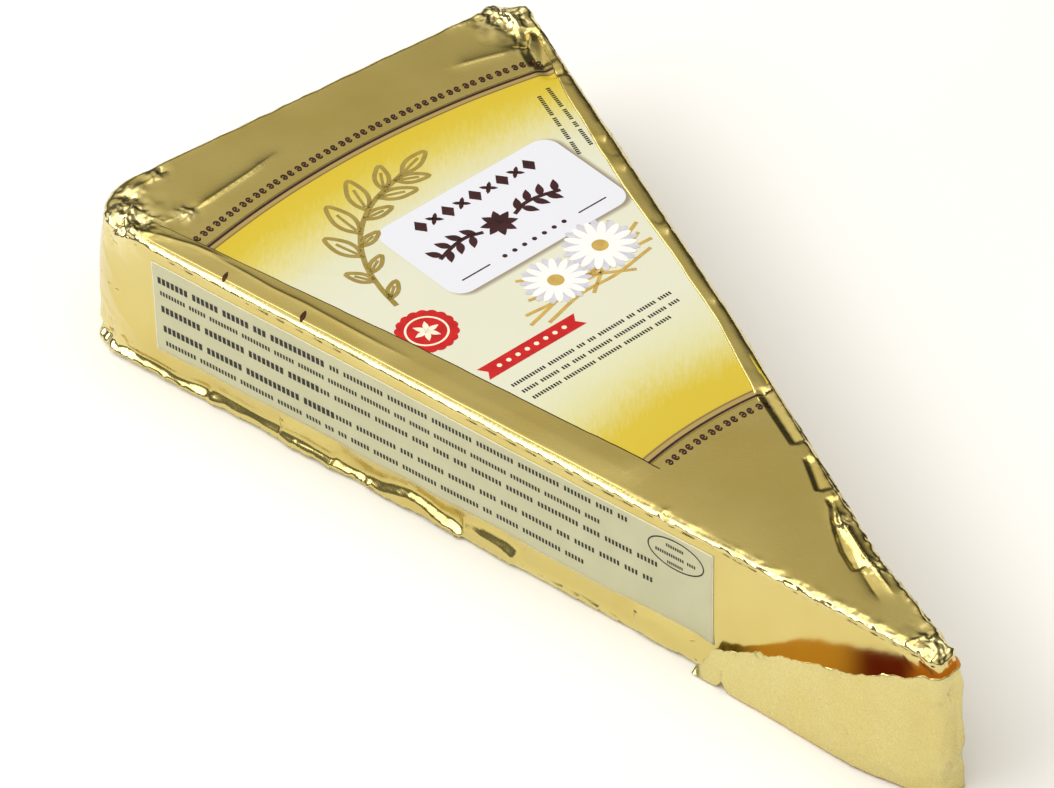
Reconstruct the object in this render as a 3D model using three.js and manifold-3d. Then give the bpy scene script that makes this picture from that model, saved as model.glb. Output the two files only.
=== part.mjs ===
// A wedge of soft cheese, shut in a gold foil wrapper with a printed field on top and a paper
// label on one cut face. The foil's long edges are folded over the top as two raised bands, and
// its loose end is wrapped round the point and stands off the left cut face as a flap.
// Millimetres, +Z up. The point looks along -Y and the back, which was the wheel's rim, along +Y.
import * as THREE from 'three';
import { mergeVertices } from 'three/addons/utils/BufferGeometryUtils.js';
import Module from 'manifold-3d';

const wasm = await Module();
wasm.setup();

// Driving dimensions. While the pieces are made, the origin is the centre of the wheel that the
// wedge was cut from, so both cut faces run out from it.
const THICKNESS = 26; // bottom to the flat of the top
const CUT_ANGLE = 14.28; // from the middle line to each cut face, in degrees
const BACK = 170; // wheel's centre to the straight back edge
const TIP = 7.2; // wheel's centre to the blunt point
const CORNER_START = TIP + 1.7; // where the blunt point's corners meet the cut faces
const EDGE_ROUND = 1.1; // the foil's soft top and bottom edges
const LEFT_CORNER = { side: 162, back: -27, pull: [-41.8, 168.2] }; // long soft corner
const RIGHT_CORNER = { side: 165, back: 38, pull: [41.6, 170] }; // tight corner
const SIDE_STEPS = 56; // facets along each cut face
const HEIGHT_STEPS = 6; // facets up a face

// How the soft wedge has settled: it is wider at the bottom, its back bulges like a rim, and its
// left face is dented just above the bottom edge.
const MIDDLE = 60; // wheel's centre to the point that the outline spreads from
const FOOT_SPREAD = 0.02; // how much larger the outline is at the bottom than at the top
const RIM_BELLY = 1.5;
const BELLY_START = 150; // where the bulge of the back begins
const DENTS = [[124, 6.5, 1.3], [89, 4.5, 1.1], [53, 6.5, 1.0]]; // along, up, depth
const DENT_REACH = 6;

// The foil folded over the top: its width, its height over the flat of the top, and the
// stretch that it covers, as distances from the wheel's centre.
const BAND_RISE = 0.55;
const BAND_ROOT = 0.95; // how deep a band is sunk into the wedge, so that the two are one
const BAND_INSET = 0.7; // from the cut face to the band's outer edge
const BAND_RIPPLE = 0.35;
const LEFT_BAND = { from: 14, to: 162, widthAtBack: 5.5, widthAtPoint: 8.6, rise: BAND_RISE };
const RIGHT_BAND = { from: 20, to: 163, widthAtBack: 2.4, widthAtPoint: 3.8, rise: BAND_RISE };
const SECOND_FOLD = { from: 100, to: 158, widthAtBack: 2.0, widthAtPoint: 3.6, rise: 1.0 };

// Crumpled ears where the foil is tucked at the corners of the top: the ends of each and its
// width and height.
const EARS = [
  { from: [-40.5, 155], to: [-33, 166.5], width: 4.4, rise: 0.9 },
  { from: [-37.5, 164], to: [-27, 168.2], width: 2.6, rise: 0.8 },
  { from: [36.2, 168.3], to: [37.8, 156], width: 3.8, rise: 1.2 },
  { from: [-0.6, 9.5], to: [0.8, 16], width: 2.2, rise: 0.9 },
];

// The labels are thin sheets, each let into the foil so that its face is all but flush.
const GAP = 0.3; // clearance round every separate sheet
const SHEET = 0.35; // label thickness
const PROUD = 0.05;
const PRINT_CENTRE_X = 8.6; // the print lies a little askew: its arcs are round this point
const PRINT_FRONT = 69; // radii of the printed field's two ends
const PRINT_BACK = 153.5;
const SIDE_LABEL = { from: 48.3, to: 158.5, low: 5.8, high: 23.4 }; // along the face, and up

// The loose end of the foil: its route in the top view, from the free end round the point. Down
// the left face each stop is a distance from the wheel's centre and a stand-off from the face.
const FLAP_THICKNESS = 0.5;
const FLAP_STOPS = [[51, 2.9], [42, 3.3], [32, 2.8], [21, 3.2], [13, 2.1]];
const FLAP_ROUND_POINT = [[-3.2, 8.4], [-2.1, 6.8], [0.2, 6.4], [2.3, 7.1], [3.2, 11.5], [4.2, 17]];
const FLAP_FOOT = 0.3; // its bottom edge over the surface that the wedge stands on
const FLAP_TOP = [[-5, 23.6], [8.5, 23.4], [17.5, 19.4], [31, 14.3], [44.5, 7.6], [52, 2.8]];
const FLAP_STEPS = 60;

// Colours and finishes
const FOIL_GOLD = { color: 0xbfa85c, roughness: 0.32, metalness: 1 };
const FLAP_GOLD = { color: 0xd8c887, roughness: 0.34, metalness: 1 };
const PRINT_YELLOW = { color: 0xe9d46a, roughness: 0.5, metalness: 0 };
const PAPER_GREEN = { color: 0xc9c9a4, roughness: 0.55, metalness: 0 };

const SIN = Math.sin(THREE.MathUtils.degToRad(CUT_ANGLE));
const COS = Math.cos(THREE.MathUtils.degToRad(CUT_ANGLE));
const LEFT = -1;
const RIGHT = 1;
const UP = new THREE.Vector3(0, 0, 1);
const ALONG_LEFT = new THREE.Vector3(-SIN, COS, 0);
const INTO_LEFT = new THREE.Vector3(COS, SIN, 0);

// A point of the top view on a cut face, y away from the wheel's centre, moved inwards by inset.
function onFace(side, y, inset = 0) {
  return new THREE.Vector2(side * (y * SIN - inset) / COS, y);
}

// A point of the top view beside the left cut face: how far along it, and how far out from it.
function besideLeft([along, out]) {
  return new THREE.Vector2(-along * SIN - out * COS, along * COS - out * SIN);
}

function flatPoint([x, y]) {
  return new THREE.Vector2(x, y);
}

// The cut faces in the top view, both from the point to the back. The right one is drawn in
// towards the point, where the foil was pulled tight.
const cutFaces = {
  [LEFT]: new THREE.LineCurve(onFace(LEFT, CORNER_START), onFace(LEFT, LEFT_CORNER.side)),
  [RIGHT]: new THREE.SplineCurve([
    onFace(RIGHT, CORNER_START),
    onFace(RIGHT, 16, 0.8),
    onFace(RIGHT, 30, 1.8),
    onFace(RIGHT, 50, 1.3),
    onFace(RIGHT, 87),
    onFace(RIGHT, 130),
    onFace(RIGHT, RIGHT_CORNER.side, 0.4),
  ]),
};

// The wedge's outline, round from the middle of the blunt point by the right face.
function wedgeShape() {
  const [left, right] = [cutFaces[LEFT], cutFaces[RIGHT]];
  const point = new THREE.Vector2(0, TIP);
  const backRight = new THREE.Vector2(RIGHT_CORNER.back, BACK);
  const backLeft = new THREE.Vector2(LEFT_CORNER.back, BACK);
  const bend = (start, pull, end) => new THREE.QuadraticBezierCurve(start, pull, end);
  const runs = [
    bend(point, onFace(RIGHT, TIP), right.getPoint(0)).getPoints(3),
    right.getPoints(SIDE_STEPS),
    bend(right.getPoint(1), flatPoint(RIGHT_CORNER.pull), backRight).getPoints(5),
    new THREE.LineCurve(backRight, backLeft).getPoints(16),
    bend(backLeft, flatPoint(LEFT_CORNER.pull), left.getPoint(1)).getPoints(9),
    left.getPoints(SIDE_STEPS).reverse(),
    bend(left.getPoint(0), onFace(LEFT, TIP), point).getPoints(3),
  ];
  return new THREE.Shape(runs.flatMap((run) => run.slice(0, -1)));
}

// Moves every point of a geometry as the soft wedge has settled, so that the pieces that lie on
// the wedge keep their places on it.
function settle(geometry) {
  const points = geometry.attributes.position;
  for (let i = 0; i < points.count; i += 1) {
    const [x, y, z] = [points.getX(i), points.getY(i), points.getZ(i)];
    const height = THREE.MathUtils.clamp(z / THICKNESS, 0, 1);
    const spread = FOOT_SPREAD * (1 - height);
    const along = y * COS - x * SIN;
    const outside = -x * COS - y * SIN;
    let push = 0;
    for (const [dentAlong, dentUp, depth] of DENTS) {
      const away = Math.hypot(along - dentAlong, z - dentUp, outside) / DENT_REACH;
      push += depth * Math.exp(-away * away);
    }
    const belly = RIM_BELLY * Math.sin(Math.PI * height) * THREE.MathUtils.smoothstep(y, BELLY_START, BACK);
    points.setXYZ(i, x * (1 + spread) + push * COS, y + (y - MIDDLE) * spread + belly + push * SIN, z);
  }
  return geometry;
}

// A closed geometry as a solid that can be joined and cut, and such a solid as a geometry.
function toSolid(geometry) {
  geometry.deleteAttribute('normal');
  geometry.deleteAttribute('uv');
  const merged = mergeVertices(geometry, 1e-4);
  const vertProperties = merged.attributes.position.array;
  return new wasm.Manifold(new wasm.Mesh({ numProp: 3, vertProperties, triVerts: merged.index.array }));
}

function toGeometry(solid) {
  const { vertProperties, triVerts } = solid.getMesh();
  const geometry = new THREE.BufferGeometry();
  geometry.setAttribute('position', new THREE.BufferAttribute(vertProperties, 3));
  geometry.setIndex(new THREE.BufferAttribute(triVerts, 1));
  geometry.computeVertexNormals();
  return geometry;
}

// A slab of an outline of the top view between two heights, its edges rounded by round.
function slab(shape, bottom, top, round = 0, steps = 1) {
  const geometry = new THREE.ExtrudeGeometry(shape, {
    depth: top - bottom - 2 * round,
    steps,
    bevelEnabled: round > 0,
    bevelThickness: round,
    bevelSize: round,
    bevelOffset: -round,
    bevelSegments: 2,
  });
  return geometry.translate(0, 0, bottom + round);
}

// The edge of a band that looks away from its cut face, at a given inset more than its width.
function bandInnerEdge(side, band, more = 0) {
  const steps = 36;
  return Array.from({ length: steps + 1 }, (_, i) => {
    const share = i / steps;
    const y = THREE.MathUtils.lerp(band.from, band.to, share);
    const width = THREE.MathUtils.lerp(band.widthAtPoint, band.widthAtBack, share);
    const ripple = BAND_RIPPLE * Math.sin(17 * share) * Math.sin(Math.PI * share);
    return onFace(side, y, Math.min(width, 0.75 * y * SIN) + ripple + more);
  });
}

function foldedBand(side, band) {
  const face = cutFaces[side];
  const outerEdge = face.getPoints(SIDE_STEPS)
    .filter((point) => point.y >= band.from && point.y <= band.to)
    .map((point) => point.add(new THREE.Vector2(-side * BAND_INSET * COS, BAND_INSET * SIN)));
  const outline = [...outerEdge, ...bandInnerEdge(side, band).reverse()];
  return slab(new THREE.Shape(outline), THICKNESS - BAND_ROOT, THICKNESS + band.rise);
}

// A lozenge of crumpled foil from one point to another.
function ear({ from, to, width, rise }) {
  const [start, end] = [flatPoint(from), flatPoint(to)];
  const run = end.clone().sub(start);
  const across = new THREE.Vector2(-run.y, run.x).setLength(width / 2);
  const shape = new THREE.Shape([
    start,
    start.clone().addScaledVector(run, 0.6).sub(across),
    end,
    start.clone().addScaledVector(run, 0.35).add(across),
  ]);
  return slab(shape, THICKNESS - BAND_ROOT, THICKNESS + rise);
}

// The printed field: the ring between its two arcs, cut to what the two bands leave free. grow
// makes it larger all round, for the pocket that it lies in.
function printField(bottom, top, grow) {
  const ring = new THREE.Shape();
  ring.absarc(PRINT_CENTRE_X, 0, PRINT_BACK + grow, Math.PI / 3, 2 * Math.PI / 3, false);
  ring.absarc(PRINT_CENTRE_X, 0, PRINT_FRONT - grow, 2 * Math.PI / 3, Math.PI / 3, true);
  const between = new THREE.Shape([
    ...bandInnerEdge(RIGHT, RIGHT_BAND, GAP - grow),
    ...bandInnerEdge(LEFT, LEFT_BAND, GAP - grow).reverse(),
  ]);
  return toSolid(slab(ring, bottom, top)).intersect(toSolid(slab(between, bottom - 1, top + 1)));
}

// A flat box laid along the left cut face: grow makes it larger all round, and deep sets how
// far it reaches in from the face. It stands proud of the face by out.
function faceSheet(grow, out, deep) {
  const { from, to, low, high } = SIDE_LABEL;
  const geometry = new THREE.BoxGeometry(to - from + 2 * grow, high - low + 2 * grow, deep + out, 44, 5, 1);
  geometry.translate((from + to) / 2, (low + high) / 2, (deep - out) / 2);
  geometry.applyMatrix4(new THREE.Matrix4().makeBasis(ALONG_LEFT, UP, INTO_LEFT));
  return settle(geometry);
}

// The foil wrapper with the cheese inside it: the settled wedge, the pockets for the two labels,
// and the foil folded over the edges of the top.
function foilWrapper() {
  const depth = GAP + SHEET - PROUD;
  const wedge = toSolid(settle(slab(wedgeShape(), 0, THICKNESS, EDGE_ROUND, HEIGHT_STEPS)));
  const pocketed = wedge
    .subtract(printField(THICKNESS - depth, THICKNESS + 1, 2 * GAP))
    .subtract(toSolid(faceSheet(GAP, 1, depth)));
  const folds = [
    foldedBand(LEFT, LEFT_BAND),
    foldedBand(RIGHT, RIGHT_BAND),
    foldedBand(LEFT, SECOND_FOLD),
    ...EARS.map(ear),
  ];
  return toGeometry(folds.reduce((body, fold) => body.add(toSolid(fold)), pocketed));
}

function topLabel() {
  return toGeometry(printField(THICKNESS + PROUD - SHEET, THICKNESS + PROUD, 0));
}

function sideLabel() {
  return toGeometry(toSolid(faceSheet(0, PROUD, SHEET - PROUD)));
}

// The flap: a ribbon of foil on edge along its route, cut to the slope of its torn top edge.
function tipFlap() {
  const route = new THREE.SplineCurve([...FLAP_STOPS.map(besideLeft), ...FLAP_ROUND_POINT.map(flatPoint)]);
  const edge = (offset) => route.getPoints(FLAP_STEPS).map((point, i) => {
    const tangent = route.getTangent(i / FLAP_STEPS);
    return point.addScaledVector(new THREE.Vector2(-tangent.y, tangent.x), offset);
  });
  const plan = new THREE.Shape([...edge(-FLAP_THICKNESS / 2), ...edge(FLAP_THICKNESS / 2).reverse()]);
  const ribbon = settle(slab(plan, 0, THICKNESS, 0, HEIGHT_STEPS));
  const profile = new THREE.Shape([
    new THREE.Vector2(FLAP_TOP[0][0], FLAP_FOOT),
    new THREE.Vector2(FLAP_TOP[FLAP_TOP.length - 1][0], FLAP_FOOT),
    ...FLAP_TOP.map(flatPoint).reverse(),
  ]);
  const keep = new THREE.ExtrudeGeometry(profile, { depth: 2 * THICKNESS, bevelEnabled: false });
  keep.translate(0, 0, -THICKNESS);
  keep.applyMatrix4(new THREE.Matrix4().makeBasis(new THREE.Vector3(0, 1, 0), UP, new THREE.Vector3(1, 0, 0)));
  return toGeometry(toSolid(ribbon).intersect(toSolid(keep)));
}

function piece(name, geometry, finish) {
  const mesh = new THREE.Mesh(geometry, new THREE.MeshStandardMaterial(finish));
  mesh.name = name;
  return mesh;
}

const pack = new THREE.Group();
pack.add(
  piece('foil_wrapper', foilWrapper(), FOIL_GOLD),
  piece('top_label', topLabel(), PRINT_YELLOW),
  piece('side_label', sideLabel(), PAPER_GREEN),
  piece('tip_flap', tipFlap(), FLAP_GOLD),
);

// The part's own origin is under the middle of its box, on the surface that it rests on.
const middle = new THREE.Box3().setFromObject(pack).getCenter(new THREE.Vector3());
pack.position.set(-middle.x, -middle.y, 0);

export default pack;
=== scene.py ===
# %% [markdown]
# # A wedge of brie in gold foil
#
# This lesson dresses a plain solid wedge as a foil-wrapped cheese. The solid gives every size and
# place, so nothing here is moved or resized. Each step says what the real thing is, how it could
# be made, and why this way was taken.

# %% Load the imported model
import math

import bmesh
import bpy
import numpy as np
from mathutils import Matrix, Vector, noise
from mathutils.bvhtree import BVHTree


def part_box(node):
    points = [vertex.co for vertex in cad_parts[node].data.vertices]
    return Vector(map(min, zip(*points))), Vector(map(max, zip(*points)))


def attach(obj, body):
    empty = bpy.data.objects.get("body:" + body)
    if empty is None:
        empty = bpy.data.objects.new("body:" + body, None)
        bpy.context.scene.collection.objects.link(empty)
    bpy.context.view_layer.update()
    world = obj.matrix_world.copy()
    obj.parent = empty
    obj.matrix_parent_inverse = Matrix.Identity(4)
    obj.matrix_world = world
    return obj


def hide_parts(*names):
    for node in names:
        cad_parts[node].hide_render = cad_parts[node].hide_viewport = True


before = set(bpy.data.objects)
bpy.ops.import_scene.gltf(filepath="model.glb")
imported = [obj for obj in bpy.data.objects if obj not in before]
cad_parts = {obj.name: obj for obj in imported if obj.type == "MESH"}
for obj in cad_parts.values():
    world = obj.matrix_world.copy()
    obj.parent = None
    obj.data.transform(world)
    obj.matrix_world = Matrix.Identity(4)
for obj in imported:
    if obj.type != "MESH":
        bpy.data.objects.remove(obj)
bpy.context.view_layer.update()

# %% [markdown]
# ## The wheel's own coordinates
#
# A wedge is easiest to describe from the centre of the wheel it was cut from: both cut faces
# start there, and the printed arcs lie round it. The script works in those coordinates, in
# millimetres, and turns points into metres in the model's frame at the very end. The solid label
# gives the place of the centre, because its back edge is an arc of a known radius.

# %% Wheel coordinates
MM = 0.001
THICKNESS = 26.0
# between the wedge's axis and each cut face
CUT_ANGLE = math.radians(14.28)
SIN, COS = math.sin(CUT_ANGLE), math.cos(CUT_ANGLE)
# from the wheel's centre to the back of the wedge, and to its blunt point
BACK, TIP = 170.0, 7.2
# the back arc of the printed label, and how far aside the centre of its arcs lies
PRINT_BACK, PRINT_X = 153.5, 8.6
# the loose flap shifts the model's middle a little off the wedge's axis
CENTRE_ASIDE = -0.18

label_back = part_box("top_label")[1][1] / MM
wheel_centre = np.array([CENTRE_ASIDE, label_back - PRINT_BACK, 0.0])
print("wheel's centre in the model:", wheel_centre.round(2), "mm")


def to_wheel(points):
    """Points of the model, in metres, as wheel coordinates in millimetres."""
    return np.asarray(points) / MM - wheel_centre


def to_model(points):
    """Wheel coordinates in millimetres as points of the model, in metres."""
    return (np.asarray(points) + wheel_centre) * MM


# %% [markdown]
# ## Hands for the modelling
#
# Blender's operators act on whatever is selected, as they do for a hand with a mouse. These small
# helpers deselect everything, take one piece in hand, pick parts of it by their place, and apply
# a modifier. numpy reads and writes all points of a mesh at once, where no operator can do a
# shape, such as a crumple that depends on the distance to an edge.

# %% Selecting, editing and finishing
def take(piece):
    """Makes one piece the only selected and the active one, in object mode."""
    if bpy.context.object and bpy.context.object.mode != "OBJECT":
        bpy.ops.object.mode_set(mode="OBJECT")
    bpy.ops.object.select_all(action="DESELECT")
    bpy.context.view_layer.objects.active = piece
    piece.select_set(True)


def pick(piece, kind, test):
    """In edit mode, selects the verts, edges or faces whose middle passes the test."""
    mesh = bmesh.from_edit_mesh(piece.data)
    bpy.ops.mesh.select_mode(type={"verts": "VERT", "edges": "EDGE", "faces": "FACE"}[kind])
    bpy.ops.mesh.select_all(action="DESELECT")
    for element in getattr(mesh, kind):
        corners = [element] if kind == "verts" else element.verts
        middle = sum((c.co for c in corners), Vector()) / len(corners)
        if test(middle, element):
            element.select_set(True)
    mesh.select_flush_mode()
    bmesh.update_edit_mesh(piece.data)


def with_modifier(piece, kind, **settings):
    """Adds a modifier with its settings and applies it."""
    take(piece)
    bpy.ops.object.modifier_add(type=kind)
    modifier = piece.modifiers[-1]
    for key, value in settings.items():
        setattr(modifier, key, value)
    bpy.ops.object.modifier_apply(modifier=modifier.name)


def points_of(piece):
    """All points of a mesh as an array of wheel coordinates."""
    flat = np.empty(3 * len(piece.data.vertices))
    piece.data.vertices.foreach_get("co", flat)
    return to_wheel(flat.reshape(-1, 3))


def set_points(piece, points):
    piece.data.vertices.foreach_set("co", to_model(points).ravel())
    piece.data.update()


def normals_of(piece):
    flat = np.empty(3 * len(piece.data.vertices))
    piece.data.vertices.foreach_get("normal", flat)
    return flat.reshape(-1, 3)


def paint(piece, name, values):
    """Keeps one number for each point of a mesh as an attribute that a material can read."""
    layer = piece.data.attributes.new(name, "FLOAT", "POINT")
    layer.data.foreach_set("value", np.asarray(values, dtype=np.float32))


def smoothstep(low, high, values):
    share = np.clip((np.asarray(values) - low) / (high - low), 0, 1)
    return share * share * (3 - 2 * share)


def bell(distance, reach):
    """1 at no distance, fading to nothing a little past reach."""
    return np.exp(-np.square(np.asarray(distance) / reach))


# %% [markdown]
# ## Foil relief
#
# Foil has three scales of form: slow dents that bend the reflections, sharp creases where it was
# folded, and crumples at the corners. Slow dents are smooth noise. Smooth noise makes poor
# crumples, because crushed foil is made of flat facets with straight edges. So a crumple gives
# random heights to the corners of a tilted lattice of tetrahedra and runs straight between them.
# Creases are short lines through a few points, each with its height and its slope on either side.

# %% Noise and creases
def slow_noise(points, wavelength, seed):
    """Smooth noise from -1 to 1 at each point."""
    shifted = np.asarray(points) / wavelength + seed * 17.3
    return np.array([noise.noise(Vector(p)) for p in shifted.tolist()])


def facets(points, size, seed):
    """Crushed foil about zero: flat facets, about as wide as size, that meet in straight creases."""
    draw = np.random.default_rng(seed)
    turn = np.linalg.qr(draw.normal(size=(3, 3)))[0]
    heights = draw.uniform(-1, 1, (16, 16, 16))
    place = np.asarray(points) @ turn / size
    place += 0.45 * slow_noise(place, 2.6, seed)[:, None]
    corner = np.floor(place).astype(int)
    rest = place - corner
    order = np.argsort(-rest, axis=1)
    falling = np.take_along_axis(rest, order, axis=1)
    weights = -np.diff(falling, axis=1, prepend=1, append=0)
    height = np.zeros(len(place))
    for step in range(4):
        height += weights[:, step] * heights[tuple(corner.T % 16)]
        if step < 3:
            corner[np.arange(len(corner)), order[:, step]] += 1
    return height


def line_distance(flat, stops):
    """Signed distance of each flat point to a line through the stops, and its share along it."""
    best = np.full(len(flat), 1e9)
    side = np.ones(len(flat))
    share = np.zeros(len(flat))
    stops = np.asarray(stops, dtype=float)
    lengths = np.hypot(*np.diff(stops, axis=0).T)
    for i, (start, end) in enumerate(zip(stops[:-1], stops[1:])):
        run = end - start
        local = np.clip((flat - start) @ run / (run @ run), 0, 1)
        away = flat - start - local[:, None] * run
        distance = np.hypot(*away.T)
        nearer = distance < best
        best[nearer] = distance[nearer]
        side[nearer] = np.sign(run[0] * away[nearer, 1] - run[1] * away[nearer, 0])
        share[nearer] = (lengths[:i].sum() + local[nearer] * lengths[i]) / lengths.sum()
    return best * side, share


def crease(flat, stops, height, left, right):
    """A fold line: its height fades over left and right millimetres on its two sides."""
    distance, share = line_distance(flat, stops)
    fade = np.where(distance > 0, left, right)
    along = np.clip(4 * np.minimum(share, 1 - share) + 0.15, 0, 1)
    return height * along * np.exp(-np.abs(distance) / fade)


# %% [markdown]
# ## Creases of the top
#
# The top is nearly flat, so the few creases on it are what the eye follows. They could be
# sculpted, but each one then has to be found again by eye. Here each is a line of points read
# from the photo. Flat foil mirrors a mid grey part of the room, and foil that slopes down and
# away from the camera mirrors the dark part below it, so a straight slope reads as a dark strip.

# %% Creases and steps of the top
TOP_CREASES = [
    # stops, height, fade on the left of the line, fade on its right
    ([(-30.2, 156.7), (-24.5, 157.5), (-16.4, 158.9), (-10.5, 160.4)], 0.30, 1.0, 0.45),
    ([(-37.1, 164.5), (-35.5, 160.9), (-34.2, 157.4), (-30.2, 156.7)], 0.22, 0.7, 0.5),
    ([(-38.8, 158.6), (-36.3, 154.5), (-33.6, 149.5), (-31.4, 143.4)], 0.18, 0.5, 0.6),
    ([(-35.0, 166.5), (-30.5, 166.9), (-26.5, 167.4)], 0.20, 0.5, 0.6),
    ([(23.1, 160.9), (28.5, 159.6), (34.2, 158.0)], 0.20, 1.3, 0.7),
    ([(28.4, 170.1), (31.0, 168.8), (33.5, 168.4)], 0.20, 0.8, 0.8),
    ([(-28.3, 140.6), (-25.8, 137.0), (-23.5, 133.2), (-18.0, 127.0)], 0.08, 0.7, 0.45),
    ([(9.5, 44.7), (7.4, 41.0), (5.9, 36.0), (4.4, 30.5), (2.9, 22.5)], 0.60, 0.7, 0.8),
    ([(3.6, 33.5), (1.5, 27.6), (0.0, 22.5)], -0.26, 0.8, 0.8),
    ([(-3.4, 13.4), (-0.8, 12.6), (1.4, 12.3)], 0.28, 0.5, 0.5),
    ([(38.4, 169.3), (37.9, 166.0), (37.8, 162.7)], 0.55, 0.7, 0.6),
    ([(36.8, 162.3), (35.6, 160.2), (34.3, 158.4)], -0.50, 0.6, 0.9),
    ([(39.3, 160.9), (36.8, 158.4), (34.6, 156.4)], 0.40, 0.5, 0.7),
]
TOP_STEPS = [
    # stops, depth, width of the slope on the left of the line, how far the foil takes to rise again
    ([(36.8, 162.8), (35.2, 159.8), (34.1, 157.3), (33.0, 153.3)], 0.75, 1.8, 1.6),
    ([(38.6, 161.2), (37.4, 158.8), (35.6, 156.2), (33.5, 152.8), (32.6, 149.0)], 0.70, 1.7, 2.2),
    ([(13.6, 69.6), (11.9, 62.2), (10.6, 56.6)], 0.62, 1.35, 2.0),
    ([(10.4, 53.4), (8.8, 49.9), (7.2, 46.6)], 0.52, 1.15, 1.8),
    ([(7.6, 44.6), (6.8, 42.6), (4.2, 39.2), (1.5, 34.3), (0.2, 29.6)], 0.50, 1.05, 1.6),
]
# how much lower the top's left edge lies, by the distance from the wheel's centre
RIDGE_DROP = ([30, 45, 72, 90], [0.05, 0.20, 0.16, 0.0])


def step_down(flat, stops, depth, width, rise):
    """A straight slope down on the left of a line, and a slow rise beyond it."""
    distance, share = line_distance(flat, stops)
    inside = np.where(distance > 0, distance, 0)
    ends = smoothstep(0, 0.05, np.minimum(share, 1 - share))
    return -depth * ends * np.minimum(inside / width, 1) * np.exp(-np.maximum(inside - width, 0) / rise)


def top_relief(flat):
    """Height of the foil over the flat top, at flat points in wheel coordinates."""
    deep = np.column_stack([flat, np.zeros(len(flat))])
    height = 0.10 * slow_noise(deep, 24, 1) + 0.04 * slow_noise(deep, 9, 2)
    for stops, rise, left, right in TOP_CREASES:
        height += crease(flat, stops, rise, left, right)
    for step in TOP_STEPS:
        height += step_down(flat, *step)
    inside = flat[:, 0] * COS + flat[:, 1] * SIN
    height -= np.interp(flat[:, 1], *RIDGE_DROP) * np.exp(-np.maximum(inside, 0) / 4.0)
    return height


# %% [markdown]
# ## The wedge of foil
#
# The wrapper is one closed skin round the cheese. It could be drawn as an outline and pulled up,
# but a cube whose front end is squeezed to a point gives the wedge in one move, and its edges
# stay easy to pick. The foot is sized up a little, because the soft cheese has spread there.

# %% Squeeze a cube into the wedge
half_back = BACK * math.tan(CUT_ANGLE)
half_tip = TIP * math.tan(CUT_ANGLE)
FOOT_SPREAD = 1.02
SPREAD_FROM = 60.0

bpy.ops.object.select_all(action="DESELECT")
middle = to_model([0, (BACK + TIP) / 2, THICKNESS / 2])
bpy.ops.mesh.primitive_cube_add(size=1, location=middle)
foil = bpy.context.object
foil.name = "foil_skin"
foil.scale = (2 * half_back * MM, (BACK - TIP) * MM, THICKNESS * MM)
bpy.ops.object.transform_apply(location=True, rotation=True, scale=True)
bpy.ops.object.mode_set(mode="EDIT")
pick(foil, "verts", lambda p, v: p.y < middle[1])
tip_middle = Vector(to_model([0, TIP, THICKNESS / 2]))
bpy.ops.transform.resize(value=(half_tip / half_back, 1, 1), center_override=tip_middle)
pick(foil, "verts", lambda p, v: p.z < middle[2])
foot_middle = Vector(to_model([0, SPREAD_FROM, 0]))
bpy.ops.transform.resize(value=(FOOT_SPREAD, FOOT_SPREAD, 1), center_override=foot_middle)
print("wedge:", round(2 * half_back * FOOT_SPREAD, 1), "mm wide at the back")

# %% [markdown]
# ## Corners and rims
#
# The upright corners are bevelled by hand, each with its own radius: the back left one is long and
# soft, the others are tight. The rim of the top gets one flat chamfer, because the ridge of a foil
# pack is a narrow flat strip that mirrors the light as one bright line. The foot gets a small round.

# %% Bevel the upright corners and the rims
def upright(edge):
    run = edge.verts[0].co - edge.verts[1].co
    return abs(run.z) > 0.9 * run.length


CORNERS = [
    # which upright corner, radius, segments
    (lambda p: p.y > 0 and p.x < 0, 12.0, 12),
    (lambda p: p.y > 0 and p.x > 0, 6.0, 8),
    (lambda p: p.y < 0, 1.3, 4),
]
for at_corner, radius, segments in CORNERS:
    pick(foil, "edges", lambda p, e: upright(e) and at_corner(p) and e.calc_length() > 20 * MM)
    bpy.ops.mesh.bevel(offset=radius * MM, segments=segments, profile=0.5, affect="EDGES")
RIMS = [
    # which rim, width, segments: one segment makes a flat chamfer
    (lambda p: p.z > (THICKNESS - 0.1) * MM, 0.78, 1),
    (lambda p: p.z < 0.1 * MM, 1.1, 4),
]
for at_rim, width, segments in RIMS:
    pick(foil, "edges", lambda p, e: at_rim(p))
    bpy.ops.mesh.bevel(offset=width * MM, segments=segments, profile=0.5, affect="EDGES")
bpy.ops.object.mode_set(mode="OBJECT")
print("block:", len(foil.data.polygons), "faces")

# %% [markdown]
# ## An even skin
#
# The block has a few large faces, which can't crumple. Subdividing them would leave slivers at the
# point. A voxel remesh gives an even skin instead, and only the places that will be folded are
# then subdivided, to save triangles. A remesh rounds everything off a little, so a shrinkwrap
# puts the skin back on the exact planes, and flat foil stays flat in its reflections.

# %% Give it an even skin
SKIN = 0.93
plain_block = foil.copy()
plain_block.data = foil.data.copy()
bpy.context.collection.objects.link(plain_block)
with_modifier(foil, "REMESH", mode="VOXEL", voxel_size=SKIN * MM)
print("skin:", len(foil.data.vertices), "points")

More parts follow.
